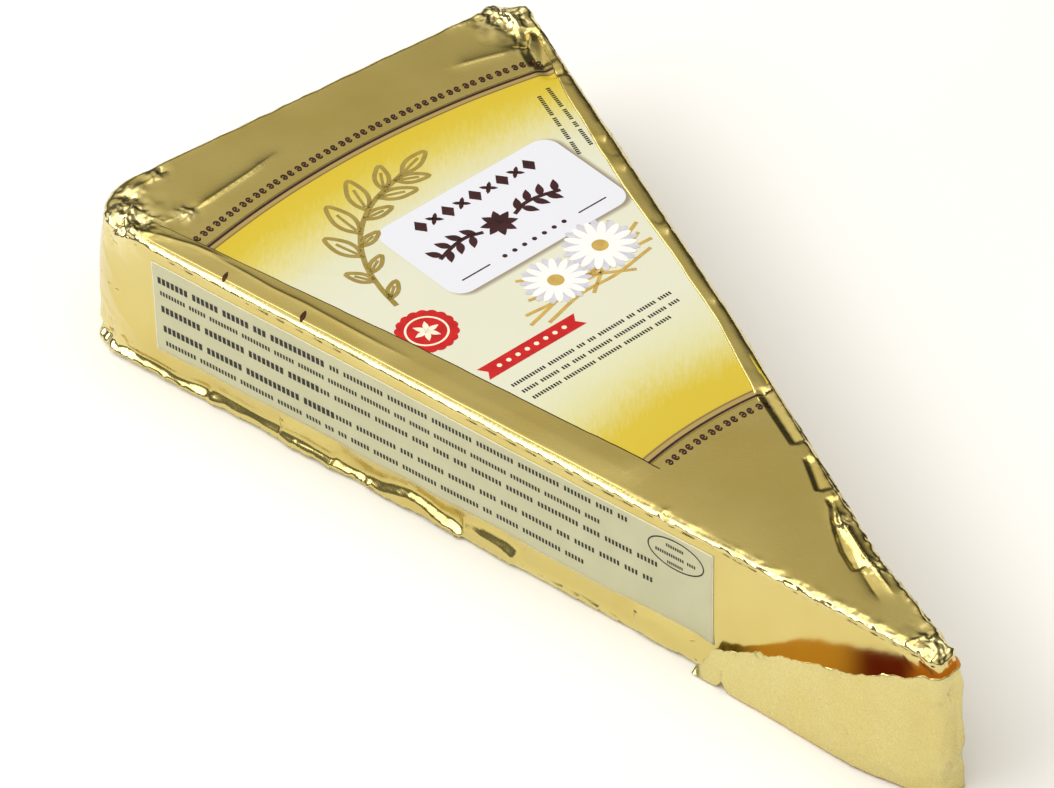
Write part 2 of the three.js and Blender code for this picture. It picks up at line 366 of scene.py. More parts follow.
# %% Cut it finer where it will be folded
CRUSHED = [
    # middle in wheel coordinates, reach, depth
    ((-39.5, 161.5, 26), 5.0, 0.85),
    ((-30.6, 156.9, 26), 1.8, 0.45),
    ((38.0, 166.6, 26), 4.2, 1.00),
    ((36.0, 158.6, 26), 1.8, 0.30),
    ((-34.8, 166.4, 26), 2.4, 0.50),
    ((-28.5, 168.0, 26), 1.8, 0.35),
    ((6.9, 38.5, 26), 2.0, 0.35),
    ((4.9, 28.0, 26), 2.2, 0.35),
    ((0.6, 9.5, 25.5), 3.8, 0.65),
    ((-1.0, 7.5, 0), 3.0, 0.60),
    ((-41.0, 164.0, 0.5), 6.0, 0.60),
    ((40.0, 166.0, 0.5), 5.0, 0.60),
    ((-14.2, 56.6, 26), 1.6, 0.35),
]


def from_edges(points):
    """Distance of each point to the faces and to the long edges, by name."""
    x, y, z = points.T
    spread = 1 + (FOOT_SPREAD - 1) * (1 - np.clip(z / THICKNESS, 0, 1))
    x, y = x / spread, SPREAD_FROM + (y - SPREAD_FROM) / spread
    into = {"left": x * COS + y * SIN, "right": -x * COS + y * SIN, "back": BACK - y}
    edges = {f"top {face}": np.hypot(depth, THICKNESS - z) for face, depth in into.items()}
    edges.update({f"bottom {face}": np.hypot(depth, z) for face, depth in into.items()})
    return into, edges


def busyness(points):
    """1 where the foil is folded sharply, and less with the distance from there."""
    _, edges = from_edges(points)
    top = np.minimum.reduce([edges["top left"] - 0.5, edges["top right"], edges["top back"]])
    bottom = np.minimum.reduce([edges["bottom left"], edges["bottom right"], edges["bottom back"]])
    busy = np.maximum(1.0 - top / 3.2, 0.8 - bottom / 6)
    for centre, reach, depth in CRUSHED:
        busy = np.maximum(busy, 1.15 - np.linalg.norm(points - centre, axis=1) / reach / 2)
    on_top = np.flatnonzero(points[:, 2] > THICKNESS - 1)
    for stops in [line[0] for line in TOP_CREASES + TOP_STEPS]:
        near = 1.0 - np.abs(line_distance(points[on_top, :2], stops)[0]) / 2.4
        busy[on_top] = np.maximum(busy[on_top], near)
    return busy


def cut_finer(piece, above):
    """Subdivides the faces of a piece that are busier than a limit."""
    middles = np.empty(3 * len(piece.data.polygons))
    piece.data.polygons.foreach_get("center", middles)
    chosen = busyness(to_wheel(middles.reshape(-1, 3))) > above
    take(piece)
    bpy.ops.object.mode_set(mode="EDIT")
    bpy.ops.mesh.select_mode(type="FACE")
    bpy.ops.mesh.select_all(action="DESELECT")
    bpy.ops.object.mode_set(mode="OBJECT")
    piece.data.polygons.foreach_set("select", chosen)
    bpy.ops.object.mode_set(mode="EDIT")
    bpy.ops.mesh.subdivide(number_cuts=1)
    bpy.ops.object.mode_set(mode="OBJECT")


cut_finer(foil, 0.05)
cut_finer(foil, 0.68)
with_modifier(foil, "SHRINKWRAP", target=plain_block, wrap_method="NEAREST_SURFACEPOINT")
bpy.data.objects.remove(plain_block)
bpy.ops.object.shade_smooth()
foil.data.calc_loop_triangles()
print("skin:", len(foil.data.vertices), "points,", len(foil.data.loop_triangles), "triangles")

# %% [markdown]
# ## Settle, fold and crush the foil
#
# The even skin still looks machined. The soft cheese inside has settled, so the back bulges and
# the right face is drawn in towards the point. The foil is pinched to a crest along the edges of
# the top, ruffled along the bottom, and crushed where it was tucked in at the corners. All of it
# depends on how far a point lies from an edge, so it is done in code, one layer after another.

# %% Relief of the upright faces
SAGS = [
    # where the foot of the face is drawn in: along, half length, height, depth
    (146, 5, 2.8, 0.20), (121, 8, 3.6, 0.30), (104, 5, 2.4, 0.20), (72, 8, 2.6, 0.45), (56, 8, 4.5, 0.45),
]
FOOT_FLARES = [
    # line along the face and up, how far the foil below it stands out, over what height, and its return
    ([(149, 2.6), (140, 2.5), (130, 2.4), (122, 2.0), (116, 1.6)], 0.80, 0.8, 3.0),
    ([(117, 1.6), (113.5, 2.3), (110, 3.4), (107.3, 4.0), (103.5, 3.4), (100, 2.4), (96, 1.5)],
     1.20, 1.2, 3.0),
    ([(97.5, 3.6), (93, 4.6), (89, 4.4), (85.5, 3.3)], 0.95, 1.7, 2.0),
    ([(64, 5.6), (58, 6.2), (52, 5.8)], 0.75, 1.5, 3.0),
    ([(134, 4.9), (128, 5.5), (122, 5.0)], 0.70, 1.4, 2.0),
]
LEFT_CREASES = [
    # along the face and up, as for the top
    ([(168, 14), (165.5, 9.5), (162, 6)], 0.40, 1.5, 1.0),
    ([(171, 21), (167, 17), (165, 12)], 0.30, 1.2, 1.2),
    ([(44, 16), (40, 11), (34, 4)], 0.20, 1.6, 1.2),
]


def left_relief(flat):
    """How far the foil stands out of the left face, at flat points: along the face, and up."""
    deep = np.column_stack([flat, np.zeros(len(flat))])
    out = 0.16 * slow_noise(deep * (1, 0.6, 1), 19, 3) + 0.05 * slow_noise(deep * (1, 0.35, 1), 6, 4)
    for along, half_length, up, depth in SAGS:
        above = np.where(flat[:, 1] > up, 2.6, 1.5)
        out -= depth * bell(flat[:, 0] - along, half_length) * bell(flat[:, 1] - up, above)
    for stops, rise, width, decay in FOOT_FLARES:
        out += step_down(flat, stops, -rise, width, decay)
        out -= 0.4 * rise * bell(line_distance(flat, stops)[0], 2.4)
    for stops, rise, left, right in LEFT_CREASES:
        out += crease(flat, stops, rise, left, right)
    out += 0.20 * facets(deep * (1, 2, 1), 5.0, 61) * bell(flat[:, 1] - 2.5, 3.2)
    return out


def plain_relief(flat, seed):
    """The same slow dents for a face with nothing drawn on it."""
    deep = np.column_stack([flat, np.zeros(len(flat))])
    dents = 0.22 * slow_noise(deep * (1, 0.6, 1), 20, seed) + 0.07 * slow_noise(deep, 6, seed + 1)
    return dents + 0.20 * facets(deep * (1, 0.7, 1), 8, seed + 60)


# %% Put every layer on the skin
RIM_BELLY = 1.5
DRAWN_IN = ([8, 16, 30, 50, 87], [0, 0.8, 1.8, 1.3, 0])
LEFT_OUT = np.array([-COS, -SIN, 0])
RIGHT_OUT = np.array([COS, -SIN, 0])
UPWARDS = np.array([0, 0, 1.0])

plain, outwards = points_of(foil), normals_of(foil)
into, edges = from_edges(plain)
x, y, z = plain.T
share_up = np.clip(z / THICKNESS, 0, 1)
facing = {
    "top": smoothstep(0.55, 0.95, outwards[:, 2]),
    "bottom": smoothstep(0.55, 0.95, -outwards[:, 2]),
    "left": smoothstep(0.75, 0.97, outwards @ LEFT_OUT),
    "right": smoothstep(0.75, 0.97, outwards @ RIGHT_OUT),
    "back": smoothstep(0.75, 0.97, outwards[:, 1]),
}
along_left, along_right = y * COS - x * SIN, y * COS + x * SIN
relief = (
    facing["top"] * top_relief(plain[:, :2])
    + facing["left"] * left_relief(np.column_stack([along_left, z]))
    + facing["right"] * plain_relief(np.column_stack([along_right, z]), 5)
    + facing["back"] * plain_relief(np.column_stack([x, z]), 7)
    + 0.4 * facing["bottom"] * np.minimum(plain_relief(plain[:, :2], 9), 0)
)
moved = plain + relief[:, None] * outwards
moved[:, 1] += RIM_BELLY * np.sin(np.pi * share_up) * smoothstep(150, BACK, y)
draw_in = np.interp(y, *DRAWN_IN) * np.clip(1 - into["right"] / 7, 0, 1)
moved -= draw_in[:, None] * RIGHT_OUT

# %% [markdown]
# ## Pinched edges and grooves
#
# Foil that is folded over an edge stands up there as a thin crest, and beside the crest it dips.
# The crest could be an edge loop pulled out by hand. Here it is a bell of the distance to the
# edge, made uneven by noise that runs along it: ragged towards the point, calmer at the back. The
# grooves beside it are narrower bells that go in, broken up by a noise of their own. The last of
# them lies over a small rolled hem, at the back end of the left foot.

# %% Pinch the long edges
PINCHED = {
    # edge: direction, rise, reach, and how ragged it is towards the point and at the back
    "top left": (LEFT_OUT + UPWARDS, 0.05, 0.7, 2.6, 1.4),
    "top right": (RIGHT_OUT + UPWARDS, 0.08, 0.8, 0.7, 0.2),
    "top back": (np.array([0, 0.6, 1.0]), 0.20, 0.7, 0.9, 0.9),
    "bottom left": (LEFT_OUT + 0.3 * UPWARDS, 0.55, 0.9, 0.5, 0.5),
    "bottom right": (RIGHT_OUT + 0.3 * UPWARDS, 0.55, 0.9, 0.5, 0.5),
    "bottom back": (np.array([0, 1.0, 0.3]), 0.55, 0.9, 0.5, 0.5),
}
nearest = np.argmin(np.column_stack([into["left"], into["right"], into["back"]]), axis=1)
along_edge = np.choose(nearest, [along_left, along_right + 40, x + 400])
depth_in = np.choose(nearest, [into["left"], into["right"], into["back"]])
run = np.column_stack([np.interp(y, [40, 90], [0.8, 0.45]) * along_edge, depth_in, z])
swell = slow_noise(run, 4, 11)
jag = facets(run, 1.1, 12)
for name, (direction, rise, reach, at_point, at_back) in PINCHED.items():
    ragged = np.interp(y, [20, 60, 100, BACK], [at_point, at_point, at_back, at_back])
    strength = rise * (1 + 0.3 * swell + ragged * jag) * bell(edges[name], reach)
    moved += strength[:, None] * direction / np.linalg.norm(direction)

# %% Grooves beside the ridge
at_hem = smoothstep(144, 151, along_left) * facing["left"]
GROOVES = [
    # distance from an edge, where it acts, how far in, depth, half width
    (THICKNESS - z, facing["left"], 1.05, 0.24, 0.25),
    (into["left"], facing["top"], 1.00, 0.14, 0.22),
    (z, at_hem, 2.1, 0.45, 0.40),
]
broken = smoothstep(-0.35, 0.2, slow_noise(run, 3.2, 19))
for distance, where, at, depth, half_width in GROOVES:
    groove = depth * (0.35 + 0.65 * broken) * bell(distance - at, half_width) * where
    moved -= groove[:, None] * outwards
rolled = 0.60 * smoothstep(144, 151, along_left) * bell(z - 0.9, 0.65) * (1 + 0.5 * swell)
moved += (rolled * (into["left"] < 3))[:, None] * LEFT_OUT

# %% [markdown]
# ## Crushed corners
#
# At the corners the foil was tucked in and pressed flat, and there it is all small facets. A cloth
# simulation could crush it, but it would not crush it where the photo shows it. So each place has
# a middle, a reach and a depth, and facets of three sizes push the skin in and out and sideways.
# The same strengths are painted on the skin, for the material's sharp folds and for a paler gold, partly worn
# lacquer and partly a painted highlight.

# %% Crush the tucked corners
top_edge = np.minimum.reduce([edges["top left"], edges["top right"], edges["top back"]])
bottom_edge = np.minimum.reduce([edges["bottom left"], edges["bottom right"], edges["bottom back"]])
creased = 0.10 * bell(top_edge, 1.2) * np.interp(y, [45, 75], [1.7, 0.3]) + 0.14 * bell(bottom_edge, 1.5)
near_edge = np.flatnonzero(creased > 0.01)
crumple = creased[near_edge] * 1.6 * facets(run[near_edge], 0.9, 18)
moved[near_edge] += crumple[:, None] * outwards[near_edge]
crush = np.zeros(len(plain))
for centre, reach, depth in CRUSHED:
    crush = np.maximum(crush, depth * bell(np.linalg.norm(plain - centre, axis=1), reach))
busy = np.flatnonzero(crush > 0.02)
spot = plain[busy]
push = 0.85 * facets(spot, 2.1, 13) + 0.45 * facets(spot, 1.0, 17) + 0.22 * facets(spot, 0.55, 19)
sideways = np.column_stack([facets(spot, 2.8, seed) for seed in (14, 15, 16)])
moved[busy] += (crush[busy] * push)[:, None] * outwards[busy] + 0.8 * crush[busy, None] * sideways
moved[:, 2] = np.maximum(moved[:, 2], 0.02)
set_points(foil, moved)
# the crushed places and the ridges are painted a paler gold, partly worn lacquer and partly a painted
# highlight that turns their glints white
ridge = 0.9 * bell(edges["top left"], 1.0) + 0.6 * bell(bottom_edge, 1.2)
paint(foil, "crush", np.clip(np.maximum(crush, creased), 0, 1))
paint(foil, "worn", np.clip(np.maximum(1.5 * crush, ridge), 0, 1))
print("foil relief from", relief.min().round(2), "to", relief.max().round(2), "mm")
print("crushed points:", len(busy))

# %% [markdown]
# ## Laying thin things on the foil
#
# The folded bands, the printed sheet, the side label and the ink all lie on the crumpled skin. By
# hand they would be shrinkwrapped on it. Here each point of a flat piece is dropped on the skin
# along the face's normal, and lifted by some hundredths of a millimetre, which keeps it in front.
# A sheet starts as a grid primitive, and a function says where each of its points goes.

# %% Faces to lay things on
# from how far out of the face the points are dropped, in mm
DROP_FROM = 60


class Face:
    """One side of the wedge: flat places on it become points on the foil."""

    def __init__(self, tree, across, up, out):
        self.tree = tree
        self.across, self.up, self.out = (np.array(axis, dtype=float) for axis in (across, up, out))

    def lay(self, flat, lift):
        """Flat places as points on the foil; one that misses it stays level with the face."""
        flat = np.asarray(flat, dtype=float)
        level = flat[:, :1] * self.across + flat[:, 1:2] * self.up
        starts = to_model(level + DROP_FROM * self.out)
        aim = Vector(-self.out)
        points = np.empty_like(level)
        for i, start in enumerate(starts.tolist()):
            hit = self.tree.ray_cast(Vector(start), aim)[0]
            points[i] = to_wheel(hit) if hit else level[i] + THICKNESS * self.out * (self.out[2] > 0.5)
        return points + np.asarray(lift).reshape(-1, 1) * self.out


skin_tree = BVHTree.FromPolygons(
    [v.co.copy() for v in foil.data.vertices], [tuple(p.vertices) for p in foil.data.polygons]
)
top_face = Face(skin_tree, (1, 0, 0), (0, 1, 0), (0, 0, 1))
left_face = Face(skin_tree, (-SIN, COS, 0), (0, 0, 1), LEFT_OUT)
print("the foil's height in the middle of the top:", top_face.lay([(0, 110)], 0)[0, 2].round(2), "mm")


# %% Sheets from a grid primitive
def sheet_piece(name, columns, rows, place, thickness, mirrored=False):
    """A thin closed sheet: place turns shares across and along it, from 0 to 1, into points."""
    bpy.ops.object.select_all(action="DESELECT")
    bpy.ops.mesh.primitive_grid_add(x_subdivisions=columns, y_subdivisions=rows, size=1)
    piece = bpy.context.object
    piece.name = name
    flat = np.empty(3 * len(piece.data.vertices))
    piece.data.vertices.foreach_get("co", flat)
    shares = flat.reshape(-1, 3)[:, :2] + 0.5
    set_points(piece, place(shares[:, 0], shares[:, 1]))
    if mirrored:
        bpy.ops.object.mode_set(mode="EDIT")
        bpy.ops.mesh.flip_normals()
        bpy.ops.object.mode_set(mode="OBJECT")
    with_modifier(piece, "SOLIDIFY", thickness=thickness * MM, offset=-1)
    bpy.ops.object.shade_smooth()
    return piece


def from_left_edge(along, across):
    """Flat places on the top, given along the left edge and in from it."""
    return np.column_stack([-along * SIN + across * COS, along * COS + across * SIN])


def from_right_edge(along, across):
    """The same along the right edge, which is drawn in towards the point."""
    across = across + np.interp(along * COS, *DRAWN_IN)
    return np.column_stack([along * SIN - across * COS, along * COS + across * SIN])


# %% [markdown]
# ## The folded bands
#
# The wrapper is one sheet, turned up over the sides and folded flat on the top, so a band of it
# lies along each long edge, over the print. A line in the material could stand for it, but a real
# fold has a thickness. So each band is a grid that leaves the ridge level with the skin and lifts
# a little towards its free edge, where it throws the thin shadow of a layer. Its front end dives
# under the foil so gently that no end shows. The left band has one faint fold line along it, and
# the right one is rippled.

# %% One band
BAND_SHEET = 0.06
UNDER_FOIL = -0.04


def band(name, edge, stretch, width, seed, marks, rise, start, base=0.11, fade=7, step=0.42):
    """A folded strip along one edge of the top: its free edge lies width in from the edge.

    start says how far in from the edge the strip starts, and its height there; base is its height
    further in, rise what its free edge adds, and fade the length over which its front end dives.
    """
    length = stretch[1] - stretch[0]

    def place(across_share, along_share):
        along = stretch[0] + length * along_share
        from_front, from_back = along - stretch[0], stretch[1] - along
        line = np.column_stack([along, along * 0, along * 0])
        wide = np.interp(along, *width) + 0.16 * slow_noise(line, 9, seed)
        wide += 0.07 * slow_noise(line, 2.5, seed + 4)
        flat = edge(along, start[0] + (wide - start[0]) * across_share)
        deep = np.column_stack([flat, np.zeros(len(flat))])
        ends = smoothstep(fade / 2, fade, from_front) * smoothstep(0, 4, from_back)
        relief = rise * ends * smoothstep(0, 0.5, across_share)
        free_edge = 0.45 * rise * ends * smoothstep(0.6, 1, across_share)
        relief += free_edge * (0.4 + slow_noise(deep, 8, seed + 1))
        relief += 0.05 * ends * facets(deep, 6, seed + 2) * np.sin(np.pi * across_share)
        for mark in marks:
            relief += crease(flat, *mark) * smoothstep(0.02, 0.2, across_share)
        lift = start[1] + (base - start[1]) * np.clip(across_share / 0.5, 0, 1) + np.maximum(relief, 0)
        shown = smoothstep(0, fade, from_front) * smoothstep(0, 3, from_back)
        return top_face.lay(flat, UNDER_FOIL + (lift - UNDER_FOIL) * shown)

    columns = max(5, round(max(width[1]) / step))
    rows = round(length / step)
    return sheet_piece(name, columns, rows, place, BAND_SHEET, mirrored=edge is from_right_edge)


# %% Left band
LEFT_STRETCH, RIGHT_STRETCH = (62.5, 163), (66, 166)
# places along the edge, and the width of the band there
LEFT_WIDTH = ([54, 80, 110, 150, 163], [8.3, 7.8, 7.2, 5.5, 4.6])
FOLD_LINE = [
    (-33.3, 148.5), (-31.6, 141.4), (-29.9, 133.7), (-28.0, 127.4),
    (-26.2, 119.6), (-24.6, 113.0), (-22.9, 107.6),
]
# height, fade on either side
folds = [(FOLD_LINE, 0.13, 0.35, 0.50)]
left_band = band(
    "left_band", from_left_edge, LEFT_STRETCH, LEFT_WIDTH, 21, folds, 0.04, (1.15, 0.03),
    base=0.09, fade=6, step=0.30,
)
print("left band:", len(left_band.data.polygons), "faces")

# %% Right band
RIGHT_WIDTH = (
    [54, 70, 88, 104, 123, 139, 149, 156, 162, 166],
    [3.6, 3.75, 2.9, 3.0, 3.75, 3.4, 3.1, 2.3, 1.5, 1.0],
)
RIPPLES = [
    # stops, height, fade on either side, as for the creases of the top
    ([(39.9, 152.8), (35.8, 148.4)], 0.40, 0.3, 1.2),
    ([(39.2, 149.4), (35.2, 145.6)], -0.28, 0.4, 0.9),
    ([(35.4, 134.4), (31.0, 130.6)], 0.45, 0.3, 1.0),
    ([(34.6, 130.8), (30.3, 127.0)], -0.38, 0.3, 0.8),
    ([(33.4, 126.9), (29.1, 122.8)], 0.36, 0.4, 1.2),
    ([(29.6, 112.6), (25.6, 109.4)], -0.42, 0.3, 0.8),
    ([(29.0, 110.3), (25.2, 106.6)], 0.38, 0.3, 1.0),
    ([(24.4, 92.4), (20.8, 89.2)], 0.26, 0.4, 0.9),
    ([(20.6, 77.0), (16.6, 72.6)], -0.26, 0.4, 0.9),
]
right_band = band(
    "right_band", from_right_edge, RIGHT_STRETCH, RIGHT_WIDTH, 41, RIPPLES, 0.05, (0.25, -0.05)
)
print("right band:", len(right_band.data.polygons), "faces")

# %% [markdown]
# ## The printed sheet
#
# The top of the wrapper is printed between two arcs round one centre: a field that runs from
# yellow to cream and back, with a dark line and a row of small curls beyond each end. The sheet is
# a grid in polar places round that centre, so that its ends are true arcs, and it runs under both
# bands. The colours come later, in its material, from the distance to the same centre.

# %% Printed sheet
# radius of an arc, and how far in from the left edge it starts
UNDER_LEFT = ([69, 76], [7.9, 4.0])
UNDER_RIGHT = 1.5
PRINT_LIFT, PRINT_SHEET = 0.06, 0.05
SHEET_FRONT, SHEET_BACK = 68.45, 154.15


def arc_limits(radius, from_left, from_right):
    """The angles, from straight back, between which an arc of the print runs."""
    beside = PRINT_X * COS
    start = -CUT_ANGLE + np.arcsin((from_left - beside) / radius)
    end = CUT_ANGLE - np.arcsin((from_right + beside) / radius)
    return start, end


def on_arc(radius, angle):
    """Flat places on the top, given round the centre of the arcs."""
    return np.column_stack([PRINT_X + radius * np.sin(angle), radius * np.cos(angle)])


def place_print(across_share, along_share):
    radius = SHEET_FRONT + (SHEET_BACK - SHEET_FRONT) * along_share
    start, end = arc_limits(radius, np.interp(radius, *UNDER_LEFT), UNDER_RIGHT)
    return top_face.lay(on_arc(radius, start + (end - start) * across_share), PRINT_LIFT)


printed_sheet = sheet_piece("printed_sheet", 140, 164, place_print, PRINT_SHEET)
print("printed sheet:", len(printed_sheet.data.polygons), "faces")

# %% [markdown]
# ## The side label
#
# A paper label is stuck on the left face. It could be a picture on the foil, but it is a sheet
# with a cut edge of its own. So it is a flat grid dropped on the dented foil, which it follows as
# stuck paper does. Each point keeps its distance to the nearest cut, for a painted highlight that
# makes the paper paler along its cut edge.

# %% Side label
LABEL_ALONG = (48.3, 158.5)
LABEL_UP = (5.8, 23.4)
LABEL_LIFT, LABEL_SHEET = 0.10, 0.08


def place_side_label(across_share, along_share):
    along = LABEL_ALONG[0] + (LABEL_ALONG[1] - LABEL_ALONG[0]) * across_share
    up = LABEL_UP[0] + (LABEL_UP[1] - LABEL_UP[0]) * along_share
    return left_face.lay(np.column_stack([along, up]), LABEL_LIFT)


side_label = sheet_piece("side_label_sheet", 200, 34, place_side_label, LABEL_SHEET, mirrored=True)
label_points = points_of(side_label)
label_along = label_points[:, 1] * COS - label_points[:, 0] * SIN
from_cuts = [label_along - LABEL_ALONG[0], LABEL_ALONG[1] - label_along]
from_cuts += [label_points[:, 2] - LABEL_UP[0], LABEL_UP[1] - label_points[:, 2]]
paint(side_label, "from_cut", np.minimum.reduce(from_cuts))
print("side label:", len(side_label.data.polygons), "faces")

# %% [markdown]
# ## The loose flap
#
# The end of the foil is wrapped round the point and stands off the left face, torn along its top
# and its end. Its plan is a smooth curve through a few stops, the same as in the solid model, and
# a grid is stood on edge along it. The torn edge is jagged noise on the height, and shallow
# creases run up the sheet, as they do in foil that has been bent and let go.

# %% Flap route
# along the left face and out from it, then round the point
FLAP_BESIDE = [(51, 2.2), (42, 2.3), (32, 2.6), (21, 3.2), (13, 2.1)]
FLAP_ROUND = [(-3.2, 8.4), (-2.1, 6.8), (0.2, 6.4), (2.3, 7.1), (3.2, 11.5), (4.2, 17)]
# distance from the wheel's centre, and the height of the torn edge there
FLAP_TOP = ([-5, 8.5, 17.5, 31, 40, 46, 53], [23.6, 23.4, 19.4, 14.2, 9.0, 6.0, 2.0])
flap_stops = np.array([(-a * SIN - out * COS, a * COS - out * SIN) for a, out in FLAP_BESIDE] + FLAP_ROUND)


def smooth_route(stops, count):
    """Points along a smooth curve through the stops, and the curve's length."""
    padded = np.vstack([2 * stops[0] - stops[1], stops, 2 * stops[-1] - stops[-2]])
    shares = np.linspace(0, len(stops) - 1, 40 * len(stops))
    spans = np.minimum(shares.astype(int), len(stops) - 2)
    t = (shares - spans)[:, None]
    a, b, c, d = (padded[spans + i] for i in range(4))
    curve = b + t * ((c - a) + t * ((2 * a - 5 * b + 4 * c - d) + t * (3 * b - a - 3 * c + d))) / 2
    travelled = np.concatenate([[0], np.cumsum(np.hypot(*np.diff(curve, axis=0).T))])
    even = np.linspace(0, travelled[-1], count)
    return np.column_stack([np.interp(even, travelled, axis) for axis in curve.T]), travelled[-1]


route, flap_length = smooth_route(flap_stops, 400)
print("flap:", round(flap_length, 1), "mm long")

# %% Flap sheet
FLAP_FOOT, FLAP_SHEET = 0.3, 0.10
FLAP_CREASES = [
    # along the route from the torn end, and up
    ([(26.2, 13.6), (27.4, 9.5), (26.6, 5), (27.6, 0.5)], 0.50, 0.5, 1.6),
    ([(29.0, 8.5), (30.4, 5.5), (30.0, 2)], 0.30, 0.9, 0.4),
    ([(35.0, 12.5), (37.5, 11.2), (41.0, 11.6)], 0.22, 0.4, 1.2),
    ([(33.0, 4.4), (38.0, 3.0), (43.5, 3.8)], 0.28, 0.5, 1.4),
    ([(5.0, 3.6), (5.4, 0)], -0.40, 0.3, 1.0),
    ([(18.0, 10.0), (19.5, 5.5), (19.0, 2.0)], 0.12, 1.5, 1.5),
    ([(44.2, 21.5), (44.8, 15), (44.0, 8), (44.6, 2)], 0.34, 0.5, 0.8),
    ([(45.8, 20.0), (46.6, 17.5)], -0.45, 0.3, 0.4),
    ([(45.6, 7.0), (46.8, 4.5)], -0.40, 0.3, 0.4),
    ([(47.5, 21.0), (47.1, 10), (48.0, 1)], -0.30, 0.5, 0.6),
]


def place_flap(along_share, up_share):
    distance = along_share * flap_length
    steps = np.linspace(0, flap_length, len(route))
    x, y = np.interp(distance, steps, route[:, 0]), np.interp(distance, steps, route[:, 1])
    slopes = np.gradient(route, axis=0)
    slope_x, slope_y = np.interp(distance, steps, slopes[:, 0]), np.interp(distance, steps, slopes[:, 1])
    outward = np.column_stack([slope_y, -slope_x]) / np.hypot(slope_x, slope_y)[:, None]
    tear = np.column_stack([distance, 0 * distance, 0 * distance])
    top = np.interp(y, *FLAP_TOP) + 0.30 * slow_noise(tear, 3.3, 51) + 0.35 * facets(tear, 1.0, 52)
    foot = FLAP_FOOT + 1.6 * bell(distance - 5.6, 0.7) + 0.25 * facets(tear, 2.2, 57) ** 2
    end_cut = smoothstep(0, 3.5, distance)
    top = foot + (top - foot) * (0.22 + 0.78 * end_cut)
    up = foot + (top - foot) * up_share
    sheet = np.column_stack([distance, up])
    deep = np.column_stack([sheet, 0 * distance])
    push = 0.35 * slow_noise(deep, 11, 53) + 0.10 * slow_noise(deep, 4, 54)
    for stops, rise, left, right in FLAP_CREASES:
        push += crease(sheet, stops, rise, left, right)
    push -= 1.3 * smoothstep(29, 40, y) * up_share
    rounding = 0.25 + bell(distance - flap_length * 0.78, 7)
    push += 0.30 * rounding * facets(deep, 3.0, 55) + 0.30 * up_share**6 * facets(deep, 1.4, 56)
    spread = 1 + (FOOT_SPREAD - 1) * (1 - np.clip(up / THICKNESS, 0, 1))
    place = np.column_stack([x, y]) + push[:, None] * outward
    place = (place - (0, SPREAD_FROM)) * spread[:, None] + (0, SPREAD_FROM)
    return np.column_stack([place, up])


flap = sheet_piece("loose_flap", 190, 60, place_flap, FLAP_SHEET)
flap_points = points_of(flap)
inner_wall = np.arange(len(flap_points)) >= len(flap_points) // 2
paint(flap, "inner", inner_wall * smoothstep(44, 38, flap_points[:, 1]))
print("flap:", len(flap.data.polygons), "faces")

# %% [markdown]
# ## Shader sums in plain Python
#
# Materials are node trees. Written out node by node, a sum such as 1 - mask * 0.5 takes many
# lines. A small class wraps an output socket, so that Python's own operators add the Math nodes,
# and one method adds every other kind of node.

# %% Wires
def operator(operation, swapped=False):
    """A method of a wire that adds one Math node."""
    def add_node(wire, other=None):
        first, second = (other, wire) if swapped else (wire, other)
        inputs = {0: first} if second is None else {0: first, 1: second}
        return wire.nodes.add("ShaderNodeMath", {"operation": operation}, inputs)
    return add_node


class Wire:
    """An output socket that can be added, multiplied and compared with plain operators."""

    def __init__(self, nodes, socket):
        self.nodes, self.socket = nodes, socket

    __add__ = operator("ADD")
    __radd__ = operator("ADD", swapped=True)
    __sub__ = operator("SUBTRACT")
    __rsub__ = operator("SUBTRACT", swapped=True)
    __mul__ = operator("MULTIPLY")
    __rmul__ = operator("MULTIPLY", swapped=True)
    __truediv__ = operator("DIVIDE")
    __pow__ = operator("POWER")
    __abs__ = operator("ABSOLUTE")
    most = operator("MAXIMUM")

    def step(self, low, high):
        """0 below low and 1 above high, with a smooth rise between them."""
        settings = {"interpolation_type": "SMOOTHSTEP"}
        inputs = {"Value": self, "From Min": low, "From Max": high}
        return self.nodes.add("ShaderNodeMapRange", settings, inputs)


